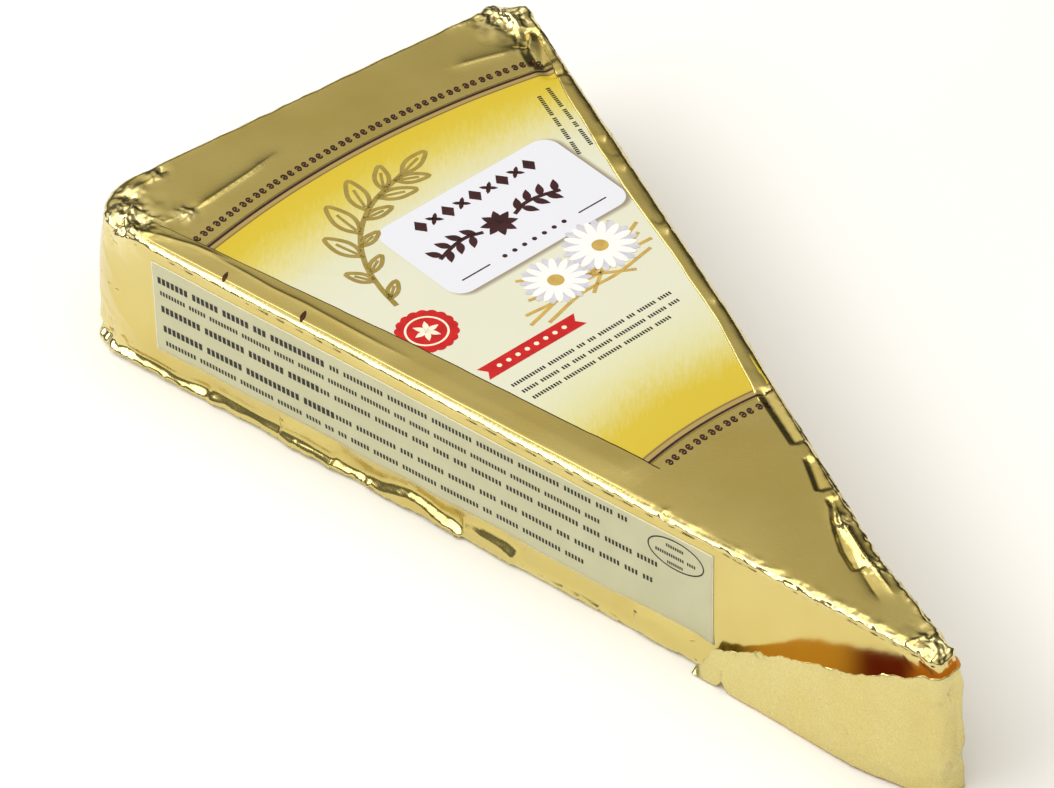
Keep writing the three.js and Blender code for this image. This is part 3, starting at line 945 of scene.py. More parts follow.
# %% Nodes and finishes
class Nodes:
    """A node tree that is built by adding nodes to it."""

    def __init__(self, tree):
        self.tree = tree

    def add(self, kind, settings=None, inputs=None, output=0):
        node = self.tree.nodes.new(kind)
        for key, value in (settings or {}).items():
            if key == "stops":
                self.set_stops(node.color_ramp, value)
            else:
                setattr(node, key, value)
        for key, value in (inputs or {}).items():
            if isinstance(value, Wire):
                self.tree.links.new(value.socket, node.inputs[key])
            else:
                node.inputs[key].default_value = value
        return Wire(self, node.outputs[output])

    @staticmethod
    def set_stops(ramp, stops):
        while len(ramp.elements) < len(stops):
            ramp.elements.new(1)
        for element, (place, colour) in zip(ramp.elements, stops):
            element.position = place
            element.color = (*colour, 1)

    def mix(self, share, first, second):
        """Two colours mixed; a share of 1 gives the second."""
        settings = {"data_type": "RGBA"}
        colours = [c if isinstance(c, Wire) else (*c, 1) for c in (first, second)]
        return self.add("ShaderNodeMix", settings, {0: share, 6: colours[0], 7: colours[1]}, output=2)

    def noise(self, place, scale, detail=2, roughness=0.5, **settings):
        inputs = {"Vector": place, "Scale": scale, "Detail": detail, "Roughness": roughness}
        return self.add("ShaderNodeTexNoise", settings, inputs)

    def stretched(self, place, scale):
        return self.add("ShaderNodeVectorMath", {"operation": "MULTIPLY"}, {0: place, 1: scale})

    def turned(self, place, angle):
        """A place turned round the upright axis."""
        settings = {"rotation_type": "Z_AXIS"}
        return self.add("ShaderNodeVectorRotate", settings, {0: place, "Angle": angle})

    def along_axis(self, place, axis):
        """One number of a place: X, Y or Z."""
        return self.add("ShaderNodeSeparateXYZ", None, {0: place}, output=axis)

    def place(self):
        """Where a point of the piece is, in metres in the model's frame."""
        return self.add("ShaderNodeTexCoord", output="Object")

    def attribute(self, name):
        return self.add("ShaderNodeAttribute", {"attribute_name": name}, output="Fac")

    def bump(self, height, distance, strength=1.0, normal=None):
        inputs = {"Height": height, "Distance": distance, "Strength": strength}
        if normal is not None:
            inputs["Normal"] = normal
        return self.add("ShaderNodeBump", None, inputs)


def finish_of(name, constants, wires=None):
    """A material: constants are set on the shader, and wires(nodes) gives what changes over it."""
    material = bpy.data.materials.new(name)
    material.use_nodes = True
    shader = material.node_tree.nodes["Principled BSDF"]
    nodes = Nodes(material.node_tree)
    for key, value in constants.items():
        shader.inputs[key].default_value = (*value, 1) if isinstance(value, tuple) else value
    for key, wire in (wires(nodes) if wires else {}).items():
        nodes.tree.links.new(wire.socket, shader.inputs[key])
    return material


def wear(piece, material, node=None):
    """Gives a piece its material and its body, and hides the solid that it stands for."""
    piece.data.materials.clear()
    piece.data.materials.append(material)
    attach(piece, "root")
    if node:
        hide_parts(node)


# %% [markdown]
# ## Gold foil
#
# The foil is aluminium with a clear yellow lacquer, laminated to thin paper. The lacquer makes a
# metal whose reflections are gold, the paper gives it a fine grain, and the crushed places are
# sharper than the flat ones. So it is one metallic shader with a little roughness, a fine noise
# for the grain, and a second, ridged noise that acts only where the crush attribute is high.
#
# Between the flap and the wedge the light bounces from gold to gold and comes out amber and red.
# That could be left to the bounces of the renderer, but they are few and noisy there. So the
# flap's inner wall has those colours of its own, with a weak glow.

# %% Gold
GOLD = (0.67, 0.56, 0.205)
GOLD_DEEP = (0.635, 0.51, 0.165)
# a paler gold for the crushed places and ridges: partly worn lacquer, partly a painted highlight
GOLD_WORN_GLINT = (0.92, 0.84, 0.50)


def between_walls(nodes, place):
    """Amber, dark red and orange along the inner wall of the flap, towards the point."""
    along = nodes.along_axis(place, "Y") * 1000 - wheel_centre[1]
    amber = nodes.mix(along.step(20, 27), (0.15, 0.014, 0.006), (0.66, 0.38, 0.075))
    return nodes.mix(along.step(11, 15), (0.50, 0.20, 0.03), amber)


def gold_wires(grain, sheen, light=GOLD, deep=GOLD_DEEP, glow=False):
    """What changes over a foil, given the strength of its grain, its roughness and two golds."""
    def wires(nodes):
        place = nodes.place()
        crush = nodes.attribute("crush")
        fine = nodes.noise(place, 2600, detail=3, roughness=0.6)
        cloudy = nodes.noise(place, 60, detail=3)
        ridged = nodes.noise(place, 420, detail=3, roughness=0.6, noise_type="RIDGED_MULTIFRACTAL")
        folds = nodes.noise(place, 900, detail=3, roughness=0.6)
        crumpled = (ridged * 0.6 + folds * 0.4) * crush
        lacquer = nodes.mix(cloudy.step(0.35, 0.7), light, deep)
        inner = nodes.attribute("inner")
        amber = between_walls(nodes, place)
        colour = nodes.mix(inner, lacquer, amber)
        ends = {
            # worn lacquer and painted highlight: the crushed places and ridges are mixed towards a paler gold
            "Base Color": nodes.mix(nodes.attribute("worn") * 0.5, colour, GOLD_WORN_GLINT),
            "Roughness": sheen + 0.07 * fine - 0.06 * crush + 0.25 * inner,
            "Metallic": 1 - 0.6 * inner,
            "Normal": nodes.bump(crumpled, 0.0003, 0.7, nodes.bump(fine, 0.00004, grain)),
        }
        if glow:
            ends["Emission Color"] = nodes.mix(inner * 0.65, (0, 0, 0), amber)
        return ends
    return wires


gold_foil = finish_of("gold_foil", {}, gold_wires(0.35, 0.16))
# the loose end is rubbed, so it is paler, rougher and more grained
flap_gold = gold_wires(0.9, 0.24, (0.69, 0.605, 0.265), (0.665, 0.56, 0.22), glow=True)
flap_foil = finish_of("flap_foil", {"Emission Strength": 1.0}, flap_gold)
wear(foil, gold_foil, "foil_wrapper")
for piece in (left_band, right_band):
    wear(piece, gold_foil)
wear(flap, flap_foil, "tip_flap")
print("foil finishes:", gold_foil.name, "and", flap_foil.name)

# %% [markdown]
# ## Printed yellow and label paper
#
# The field of the print could be a picture, but it depends only on the distance to the centre of
# its arcs. So a colour ramp over that distance is enough. A fine grain that stands upright in the
# camera's view breaks it up, as the paper under the foil does. The card is a rectangle with round
# corners, worked out as the distance to its outline, and its shadow is the same one, shifted and
# softened. The side label is plain paper with a painted highlight along its cut edges, which are
# paler where the thickness of the cut catches the light.

# %% Field and card
ARC_CENTRE = tuple(to_model([PRINT_X, 0, 0]))
# the print on the field is turned a little round that centre
PRINT_TURN = math.radians(4.5)
GRAIN_TURN = math.radians(34.9)
INK = (0.030, 0.006, 0.006)
FIELD = [
    # distance to the arcs' centre in mm, colour
    (70.5, (0.625, 0.478, 0.037)),
    (75.5, (0.635, 0.490, 0.041)),
    (79.0, (0.658, 0.565, 0.145)),
    (83.0, (0.686, 0.655, 0.315)),
    (88.0, (0.704, 0.702, 0.462)),
    (96.0, (0.722, 0.730, 0.585)),
    (128.0, (0.714, 0.722, 0.585)),
    (136.0, (0.695, 0.697, 0.500)),
    (141.0, (0.692, 0.638, 0.285)),
    (145.0, (0.656, 0.556, 0.112)),
    (149.0, (0.635, 0.490, 0.038)),
    (152.4, (0.635, 0.475, 0.029)),
]
# middle, half size, radius of the corners and shift of the shadow
CARD, CARD_HALF, CARD_ROUND, CARD_SHADOW = (9.3, 125.8), (17.8, 10.4), 3.0, (0.45, -0.55)
CARD_WHITE, SHADE = (0.755, 0.775, 0.86), (0.20, 0.13, 0.07)


def card_masks(nodes, flat):
    """The white card with round corners and its soft shadow, in the print's own frame."""
    own = nodes.turned(flat, -PRINT_TURN)

    def outside(shift):
        """How far a place is outside the card, once the card is shifted."""
        sides = []
        for i, axis in enumerate("XY"):
            from_middle = abs(nodes.along_axis(own, axis) - (CARD[i] + shift[i]))
            sides.append((from_middle - (CARD_HALF[i] - CARD_ROUND)).most(0))
        return (sides[0] ** 2 + sides[1] ** 2) ** 0.5 - CARD_ROUND

    return 1 - outside((0, 0)).step(-0.04, 0.04), 1 - outside(CARD_SHADOW).step(-0.35, 0.75)


# %% Print
# distances to the arcs' centre in mm, first at the back and then at the front
FIELD_ENDS = (152.3, 152.45), (70.15, 70.35)
FOIL_STARTS = (153.9, 153.96), (68.52, 68.58)
# the same, and how far from it the line starts to fade and has faded: first a painted shadow along each end
# of the yellow field, then the printed dark lines
STRIP_SHADE_LINES = (152.5, 0.06, 0.22), (70.0, 0.06, 0.22)
DARK_LINES = (153.6, 0.22, 0.29), (68.85, 0.20, 0.27)
STRIP_GOLD, STRIP_EDGE_SHADE = (0.52, 0.385, 0.135), (0.17, 0.11, 0.02)


def beyond(radius, limits):
    """1 beyond the first limits at the back and beyond the second ones at the front."""
    back, front = limits
    return radius.step(*back).most(1 - radius.step(*front))


def on_lines(radius, lines):
    """1 on both lines and 0 off them."""
    back, front = (1 - abs(radius - middle).step(*fade) for middle, *fade in lines)
    return back.most(front)


def print_wires(nodes):
    place = nodes.place()
    away = nodes.add("ShaderNodeVectorMath", {"operation": "SUBTRACT"}, {0: place, 1: ARC_CENTRE})
    flat = nodes.stretched(away, (1000, 1000, 0))
    radius = nodes.add("ShaderNodeVectorMath", {"operation": "LENGTH"}, {0: flat}, output="Value")
    along_grain = nodes.stretched(nodes.turned(place, GRAIN_TURN), (3200, 520, 520))
    grain = nodes.noise(along_grain, 1, detail=3, roughness=0.6)
    blotch = nodes.noise(place, 45, detail=2)
    wavy = radius + (grain - 0.5) * 7 + (blotch - 0.5) * 4
    low, high = FIELD[0][0], FIELD[-1][0]
    stops = [((r - low) / (high - low), colour) for r, colour in FIELD]
    field = nodes.add("ShaderNodeValToRGB", {"stops": stops}, {0: (wavy - low) / (high - low)})
    strip, bare = beyond(radius, FIELD_ENDS), beyond(radius, FOIL_STARTS)
    line = on_lines(radius, DARK_LINES)
    golden = nodes.mix(bare, STRIP_GOLD, GOLD_DEEP)
    # a thin painted shadow along each end of the yellow field, where it meets the golden strip
    edges = on_lines(radius, STRIP_SHADE_LINES) * 0.7
    with_strip = nodes.mix(edges, nodes.mix(strip, field, golden), STRIP_EDGE_SHADE)
    card, shadow = card_masks(nodes, flat)
    with_card = nodes.mix(card, nodes.mix(shadow * 0.75, with_strip, SHADE), CARD_WHITE)
    return {
        "Base Color": nodes.mix(line, with_card, INK),
        "Metallic": (0.6 * strip).most(bare) * (1 - line),
        "Normal": nodes.bump(grain, 0.00003, 0.4),
    }


VARNISH = {"Roughness": 0.42, "Specular IOR Level": 0.3, "Coat Weight": 0.08, "Coat Roughness": 0.2}
print_yellow = finish_of("print_yellow", VARNISH, print_wires)
wear(printed_sheet, print_yellow, "top_label")
print("print:", len(print_yellow.node_tree.nodes), "nodes")


# %% Label paper
def label_wires(nodes):
    place = nodes.place()
    blotch = nodes.noise(place, 120, detail=3)
    fibre = nodes.noise(place, 1500, detail=3)
    paper = nodes.mix(blotch.step(0.3, 0.7), (0.56, 0.555, 0.355), (0.60, 0.59, 0.385))
    # painted highlight: the paper is mixed paler near its cut edges, where their thickness catches the light
    cut = 1 - nodes.attribute("from_cut").step(0.10, 0.28)
    return {
        "Base Color": nodes.mix(cut * 0.8, paper, (0.90, 0.87, 0.66)),
        "Normal": nodes.bump(fibre, 0.00003, 0.4),
    }


label_paper = finish_of("label_paper", {"Roughness": 0.42, "Metallic": 0.2}, label_wires)
wear(side_label, label_paper, "side_label")
print("label paper:", len(label_paper.node_tree.nodes), "nodes")

# %% [markdown]
# ## Print as thin flat shapes
#
# Ink has no thickness, so it could be drawn in the material, but a print drawn as geometry stays
# sharp at any distance. Each shape is flat, in the print's own coordinates, and is laid on the
# sheet a few hundredths of a millimetre up. All the ornaments are made of a few shapes: a line of
# even width, a disc, a pointed leaf and a bar.

# %% Flat shapes
def printed(flat):
    """Places in the print's own frame, which is turned round the arcs' centre, on the top."""
    flat = np.asarray(flat, dtype=float)
    u, v = flat[:, 0], flat[:, 1]
    cos, sin = math.cos(PRINT_TURN), math.sin(PRINT_TURN)
    return np.column_stack([PRINT_X + u * cos - v * sin, u * sin + v * cos])


def moved_shape(shape, place, turn=0.0, size=1.0, flip=1):
    """A copy of a flat shape, mirrored, sized, turned and put at a place."""
    points, faces = shape
    x, y = flip * size * points[:, 0], size * points[:, 1]
    cos, sin = math.cos(turn), math.sin(turn)
    return np.column_stack([place[0] + x * cos - y * sin, place[1] + x * sin + y * cos]), faces


def turns(count, first=0.0):
    """Directions at even steps round a circle."""
    return np.linspace(first, first + 2 * math.pi, count, endpoint=False)


def oval(half_wide, half_tall, count):
    """Stops round an oval about zero."""
    return [(half_wide * math.cos(turn), half_tall * math.sin(turn)) for turn in turns(count)]


def ribbon(stops, width, closed=False, step=0.5):
    """A line of even width along a smooth curve through the stops."""
    stops = np.asarray(stops, dtype=float)
    if closed:
        stops = np.vstack([stops, stops[:1]])
    length = np.hypot(*np.diff(stops, axis=0).T).sum()
    line, length = smooth_route(stops, max(4, int(length / step)))
    run = np.gradient(line, axis=0)
    if closed:
        run[0] = run[-1] = line[1] - line[-2]
    aside = np.column_stack([-run[:, 1], run[:, 0]]) / np.hypot(*run.T)[:, None] * width / 2
    count = len(line)
    faces = [(i, i + 1, count + i + 1, count + i) for i in range(count - 1)]
    return np.vstack([line + aside, line - aside]), faces


def disc(radius, rings, around, wave=0.0, waves=0):
    """A filled disc in rings about zero, with a rim of waves if asked."""
    angles = turns(around)
    edge = 1 + wave * np.abs(np.cos(waves * angles / 2))
    rim = np.column_stack([radius * edge * np.cos(angles), radius * edge * np.sin(angles)])
    points = np.vstack([[(0, 0)]] + [rim * (i + 1) / rings for i in range(rings)])
    faces = [(0, 1 + i, 1 + (i + 1) % around) for i in range(around)]
    for ring in range(rings - 1):
        inner, outer = 1 + ring * around, 1 + (ring + 1) * around
        for i in range(around):
            j = (i + 1) % around
            faces.append((inner + i, outer + i, outer + j, inner + j))
    return points, faces


def leaf(length, width):
    """A pointed leaf that grows from zero along x."""
    share = np.linspace(0, 1, 9)
    half = width / 2 * np.sin(math.pi * share**0.85)
    upper, lower = np.column_stack([length * share, half]), np.column_stack([length * share, -half])
    return np.vstack([upper, lower]), [(i, 9 + i, 10 + i, i + 1) for i in range(8)]


def bar(width, height, steps):
    """A filled bar about zero, in steps along its longer side."""
    across, along = (steps, 1) if width > height else (1, steps)
    row = across + 1
    points = []
    for j in range(along + 1):
        points += [(width * (i / across - 0.5), height * (j / along - 0.5)) for i in range(row)]
    corners = [j * row + i for j in range(along) for i in range(across)]
    return np.array(points), [(k, k + 1, k + 1 + row, k + row) for k in corners]


# %% Laying shapes
INK_SHEET = 0.02


def inked(name, face, shapes, lift, material, frame_of=None):
    """One thin piece of many flat shapes, laid on a face; frame_of leads from their own frame."""
    points, faces, start = [], [], 0
    for flat, polygons in shapes:
        points.append(flat)
        faces += [tuple(start + i for i in polygon) for polygon in polygons]
        start += len(flat)
    flat = np.vstack(points)
    mesh = bpy.data.meshes.new(name)
    mesh.from_pydata(to_model(face.lay(frame_of(flat) if frame_of else flat, lift)).tolist(), [], faces)
    piece = bpy.data.objects.new(name, mesh)
    bpy.context.collection.objects.link(piece)
    take(piece)
    bpy.ops.object.mode_set(mode="EDIT")
    bpy.ops.mesh.select_all(action="SELECT")
    bpy.ops.mesh.normals_make_consistent(inside=False)
    bpy.ops.object.mode_set(mode="OBJECT")
    with_modifier(piece, "SOLIDIFY", thickness=INK_SHEET * MM, offset=0)
    wear(piece, material)
    print(name + ":", len(shapes), "flat shapes")


def on_print(name, shapes, lift, material):
    """Flat shapes in the print's own frame, laid on the printed sheet."""
    inked(name, top_face, shapes, PRINT_LIFT + lift, material, printed)


# %% [markdown]
# ## Inks
#
# Printed colours on foil are never quite even. Every ink is the same finish with two near colours
# that a fine noise mixes, so one function makes them all.

# %% Inks
def ink(name, light, dark, roughness=0.45, metallic=0.0):
    """A printed colour with the slight mottle of ink on foil."""
    def wires(nodes):
        mottle = nodes.noise(nodes.place(), 500, detail=3)
        return {"Base Color": nodes.mix(mottle.step(0.3, 0.7), light, dark)}
    constants = {"Roughness": roughness, "Specular IOR Level": 0.3, "Metallic": metallic}
    return finish_of(name, constants, wires)


ink_maroon = ink("ink_maroon", (0.050, 0.010, 0.012), (0.030, 0.006, 0.007))
ink_black = ink("ink_black", (0.022, 0.020, 0.016), (0.012, 0.011, 0.009))
ink_olive = ink("ink_olive", (0.36, 0.27, 0.065), (0.30, 0.22, 0.045), 0.4)
ink_red = ink("ink_red", (0.60, 0.012, 0.012), (0.48, 0.008, 0.010), 0.4)
ink_cream = ink("ink_cream", (0.90, 0.86, 0.70), (0.86, 0.81, 0.62))
ink_white = ink("ink_white", (0.92, 0.92, 0.90), (0.86, 0.86, 0.86))
ink_lilac = ink("ink_lilac", (0.66, 0.66, 0.72), (0.56, 0.56, 0.64))
ink_straw = ink("ink_straw", (0.62, 0.42, 0.10), (0.50, 0.33, 0.08))
print("materials:", len(bpy.data.materials))

# %% [markdown]
# ## The two tucks
#
# Near its back end the left band is tucked under itself twice, and between the layers it lies in
# shade. Two real pockets would be smaller than the mesh, so a thin dark leaf of painted shade
# stands for the inside of each one.

# %% Painted shade inside the two tucks
TUCKS = [
    # where it leaves the ridge, length, width, direction
    ((-34.95, 139.95), 2.5, 0.75, math.radians(36)),
    ((-31.00, 124.85), 2.9, 0.85, math.radians(36)),
]
shade_slivers = [moved_shape(leaf(length, width), place, turn) for place, length, width, turn in TUCKS]
# a thin dark sheet of painted shade for the inside of each tuck
painted_tuck_shade = ink("painted_tuck_shade", (0.085, 0.030, 0.012), (0.050, 0.018, 0.008), 0.4, 0.4)
inked("tuck_shade_slivers", top_face, shade_slivers, 0.10, painted_tuck_shade)

# %% [markdown]
# ## The rows of curls
#
# Beyond each end of the field runs a row of small open curls, in mirrored pairs. A curve object
# could be bent along the arc, but a ring with one side cut open is the whole curl. So one is made
# from a circle by insetting it, with a tiny leaf in it for the curled end, and copied along the
# arc at even steps.

# %% One curl
CURL_RADIUS, CURL_LINE = 0.66, 0.30
CURL_WIDE, CURL_TALL = 0.78, 1.05
bpy.ops.object.select_all(action="DESELECT")
bpy.ops.mesh.primitive_circle_add(vertices=16, radius=CURL_RADIUS * MM, fill_type="NGON")
curl = bpy.context.object
bpy.ops.object.mode_set(mode="EDIT")
bpy.ops.mesh.select_all(action="SELECT")
bpy.ops.mesh.inset(thickness=CURL_LINE * MM)
bpy.ops.mesh.delete(type="FACE")
pick(curl, "faces", lambda p, f: p.x > 0.3 * MM and abs(p.y) < 0.25 * MM)
bpy.ops.mesh.delete(type="FACE")
bpy.ops.object.mode_set(mode="OBJECT")
curl_shape = (
    np.array([(CURL_WIDE * v.co.x / MM, CURL_TALL * v.co.y / MM) for v in curl.data.vertices]),
    [tuple(face.vertices) for face in curl.data.polygons],
)
bpy.data.objects.remove(curl)
tongue = moved_shape(leaf(0.70, 0.30), (-0.34, 0.0))
print("curl:", np.ptp(curl_shape[0], axis=0).round(2), "mm")

# %% The rows of curls
# from the middle of a pair to each of its curls
CURL_ASIDE = 0.69
# radius, how far in from the left and the right edge, step from pair to pair
CURL_ROWS = [(156.3, 3.8, 2.8, 2.95), (66.6, 9.2, 2.8, 2.7)]
curls = []
for radius, from_left, from_right, pitch in CURL_ROWS:
    start, end = arc_limits(radius, from_left, from_right)
    pairs = int((end - start) * radius / pitch)
    for i in range(pairs):
        middle = start + (i + 0.5) * (end - start) / pairs
        for flip in (1, -1):
            angle = middle - flip * CURL_ASIDE / radius
            place = (PRINT_X + radius * math.sin(angle), radius * math.cos(angle))
            curls += [moved_shape(shape, place, -angle, flip=-flip) for shape in (curl_shape, tongue)]
inked("curl_rows", top_face, curls, 0.05, ink_maroon)

# %% [markdown]
# ## Rows of plain blocks
#
# The paper label and the field carry rows of small dark marks, which grey the paper from afar. The
# rows are plain upright blocks of two weights, in groups of uneven length. Each row draws from a
# random generator of its own, so a change of one row leaves the others as they are. On the side
# label the rows run from the back of the pack to its point, and one plain oval stands beside them.

# %% One row of blocks
# width, height and step of a block, and the middle of a row, as shares of the row's height
HEAVY, LIGHT = (0.36, 0.70, 0.52), (0.22, 0.52, 0.38)
ROW_MIDDLE = 0.36


def block_row(start, end, height, seed, heavy_share=0.0):
    """A row of plain upright blocks in groups; the first share of it is of heavier blocks."""
    draw = np.random.default_rng(seed)
    start, end = np.array(start, dtype=float), np.array(end, dtype=float)
    length = np.hypot(*(end - start))
    run = (end - start) / length
    turn = math.atan2(run[1], run[0])
    shapes, at, left_in_group = [], 0.0, draw.integers(6, 14)
    while at < length:
        wide, tall, pitch = HEAVY if at < heavy_share * length else LIGHT
        middle = start + run * at + np.array([-run[1], run[0]]) * height * ROW_MIDDLE
        shapes.append(moved_shape(bar(height * wide, height * tall, 1), middle, turn))
        at += height * pitch
        left_in_group -= 1
        if left_in_group == 0:
            at += height * 0.45
            left_in_group = draw.integers(3, 13)
    return shapes


def from_back(flat):
    """Places on the left face, for shapes drawn with x running from the back to the point."""
    return flat * (-1, 1)


# %% Rows on the side label
SIDE_ROWS = [
    # where a row starts and ends, height, share of heavier blocks
    ((-157.0, 19.6), (-64.0, 21.2), 1.75, 0.36),
    ((-156.8, 17.2), (-69.7, 18.0), 1.55, 0.0),
    ((-156.6, 14.0), (-58.8, 15.4), 1.75, 0.33),
    ((-156.4, 10.1), (-59.5, 11.8), 1.75, 0.36),
    ((-156.2, 7.3), (-72.9, 8.2), 1.65, 0.0),
]
OVAL_ROWS = [
    ((-57.0, 20.6), (-53.8, 20.6), 1.1),
    ((-59.0, 18.9), (-51.8, 18.9), 1.1),
    ((-56.8, 17.4), (-54.0, 17.4), 1.0),
]
blocks = []
for i, (start, end, height, share) in enumerate(SIDE_ROWS):
    blocks += block_row(start, end, height, 60 + i, share)
blocks.append(moved_shape(ribbon(oval(5.2, 2.75, 20), 0.22, True), (-55.3, 19.7)))
for i, (start, end, height) in enumerate(OVAL_ROWS):
    blocks += block_row(start, end, height, 71 + i)
inked("side_blocks", left_face, blocks, LABEL_LIFT + 0.025, ink_black, from_back)

# %% Rows on the top
FRONT_ROWS = [((-15.5, 94.1), (16.0, 94.1)), ((-15.2, 92.0), (15.9, 92.0)), ((-14.9, 89.9), (12.5, 89.9))]
EDGE_ROWS = [((31.6, 147.1), (28.5, 130.9)), ((29.3, 146.3), (25.8, 131.0))]
front_blocks = []
for i, (start, end) in enumerate(FRONT_ROWS):
    front_blocks += block_row(start, end, 1.35, 80 + i)
on_print("top_blocks", front_blocks, 0.03, ink_black)
edge_blocks = []
for i, (start, end) in enumerate(EDGE_ROWS):
    edge_blocks += block_row(start, end, 1.3, 90 + i)
inked("edge_blocks", top_face, edge_blocks, PRINT_LIFT + 0.03, ink_black)

# %% [markdown]
# ## Sprig of leaves
#
# A sprig in olive line stands at the back left of the card. A leaf could be a filled shape, but
# the print is a line drawing. So every leaf is a closed line with a short vein, set on the stem
# at a share of its length and turned to one side of it.

# %% Sprig of leaves
STEM_POINTS = 200
STEM = [(-16.5, 120.5), (-15.6, 125.5), (-13.6, 131.5), (-9.5, 137.5), (-3.5, 141.8), (4.5, 144.2)]
LEAVES = [
    # place along the stem, side, length
    (0.06, -1, 4.4), (0.20, 1, 5.0), (0.26, -1, 4.6), (0.38, 1, 7.5), (0.45, -1, 4.4), (0.54, 1, 8.5),
    (0.64, -1, 5.2), (0.70, 1, 8.0), (0.80, -1, 6.5), (0.86, 1, 6.0), (0.94, -1, 5.5), (1.0, 0, 6.5),
]
# how far a leaf turns away from the stem
LEAF_SPREAD = 0.75
LEAF_OUTLINE = [(0, 0), (0.30, 0.16), (0.62, 0.17), (1, 0), (0.62, -0.17), (0.30, -0.16)]
stem, _ = smooth_route(np.array(STEM), STEM_POINTS)
sprig = [ribbon(STEM, 0.85)]
for share, side, length in LEAVES:
    i = min(int(share * (STEM_POINTS - 1)), STEM_POINTS - 2)
    run_x, run_y = stem[i + 1] - stem[i]
    heading = math.atan2(run_y, run_x) + side * LEAF_SPREAD
    outline = ribbon([(length * x, length * y) for x, y in LEAF_OUTLINE], 0.72, True, 0.4)
    vein = ribbon([(0.12 * length, 0), (0.45 * length, 0.02), (0.7 * length, 0)], 0.5)
    sprig += [moved_shape(shape, stem[i], heading) for shape in (outline, vein)]
on_print("leaf_sprig", sprig, 0.03, ink_olive)

# %% [markdown]
# ## Seal and ribbon
#
# A red seal with a scalloped rim and a straight red ribbon with a swallowtail at each end lie at
# the front left of the card. Their cream marks are a layer of their own, two hundredths of a
# millimetre higher, so that they lie clear of the red.

# %% Seal and ribbon
SEAL = (-17.0, 112.8)
on_print("red_seal", [moved_shape(disc(4.7, 5, 72, 0.07, 18), SEAL)], 0.03, ink_red)
seal_ring = moved_shape(ribbon(oval(3.3, 3.3, 24), 0.35, True), SEAL)
seal_petals = [moved_shape(leaf(2.3, 0.95), SEAL, turn) for turn in turns(6)]
on_print("seal_marks", [seal_ring] + seal_petals, 0.05, ink_cream)

BAR_LEFT, BAR_RIGHT, BAR_LEVEL = -17.2, 2.1, 99.4
TAIL_LONG, NOTCH, BAR_HALF = 2.2, 1.0, 1.5
tail_points = [(TAIL_LONG, BAR_HALF), (0, BAR_HALF), (NOTCH, 0), (0, -BAR_HALF), (TAIL_LONG, -BAR_HALF)]
tail = (np.array(tail_points), [(0, 1, 2), (0, 2, 4), (2, 3, 4)])
body = bar(BAR_RIGHT - BAR_LEFT - 2 * TAIL_LONG, 2 * BAR_HALF, 30)
red_bar = [
    moved_shape(body, ((BAR_LEFT + BAR_RIGHT) / 2, BAR_LEVEL)),
    moved_shape(tail, (BAR_LEFT, BAR_LEVEL)),
    moved_shape(tail, (BAR_RIGHT, BAR_LEVEL), flip=-1),
]
on_print("red_ribbon", red_bar, 0.03, ink_red)
dot_places = np.linspace(BAR_LEFT + 3.2, BAR_RIGHT - 3.2, 8)
on_print("ribbon_dots", [moved_shape(disc(0.42, 1, 10), (u, BAR_LEVEL)) for u in dot_places], 0.05, ink_cream)

# %% [markdown]
# ## Daisies on straw
#
# Two daisies lie on crossed straws in front of the card. Petal by petal they would be dozens of
# shapes that overlap. So each daisy is one disc with a deeply scalloped rim, and a second one,
# turned a little and in a greyer white, lies under it and shows between the petals.

# %% Daisies on straw
DAISIES = [((5.2, 108.6), 5.6, 0.1), ((15.6, 110.2), 6.2, 0.35)]
STALKS = [
    [(-4.5, 103.2), (5.0, 105.4), (14.0, 105.6), (22.0, 108.6)],
    [(-3.6, 105.4), (3.0, 105.0), (12.5, 106.6), (22.6, 106.2)],
    [(-2.0, 101.8), (6.0, 103.6), (13.0, 103.4), (21.0, 104.6)],
    [(0.5, 112.6), (5.2, 109.6), (10.0, 106.0), (16.0, 102.2)],
    [(20.5, 113.8), (17.5, 109.8), (13.0, 106.4), (7.5, 102.4)],
    [(23.4, 110.6), (16.0, 107.6), (8.0, 105.8), (-1.0, 107.8)],
]
PETALS = 14


def daisies(turned, size):
    """Both daisies as discs with a deeply scalloped rim, turned a little and sized."""
    flowers = []
    for middle, radius, turn in DAISIES:
        petals = disc(0.52 * radius, 5, 10 * PETALS, 0.92, PETALS)
        flowers.append(moved_shape(petals, middle, turn + turned, size))
    return flowers


on_print("straw_stalks", [ribbon(stalk, 0.6) for stalk in STALKS], 0.03, ink_straw)
on_print("petals_under", daisies(0.22, 1.0), 0.045, ink_lilac)
on_print("petals_over", daisies(0.0, 0.93), 0.06, ink_white)
eyes = [moved_shape(disc(1.35, 2, 20), middle) for middle, radius, turn in DAISIES]
on_print("daisy_eyes", eyes, 0.075, ink_straw)

# %% [markdown]
# ## Marks on the card
#
# The card carries a plain ornament in dark red: diamonds and small flowers along its back edge, a
# large flower with a spray of leaves to either side in the middle, and a line of dots between two
# bars along its front edge. One spray is drawn and the other one is its mirror image.

# %% Marks on the card
SMALL_TURNS = (0.785, 2.356, 3.927, 5.498)
SPRAY = [(3.2, 0), (6.0, 0.9), (9.0, 0.6), (12.2, -0.4)]
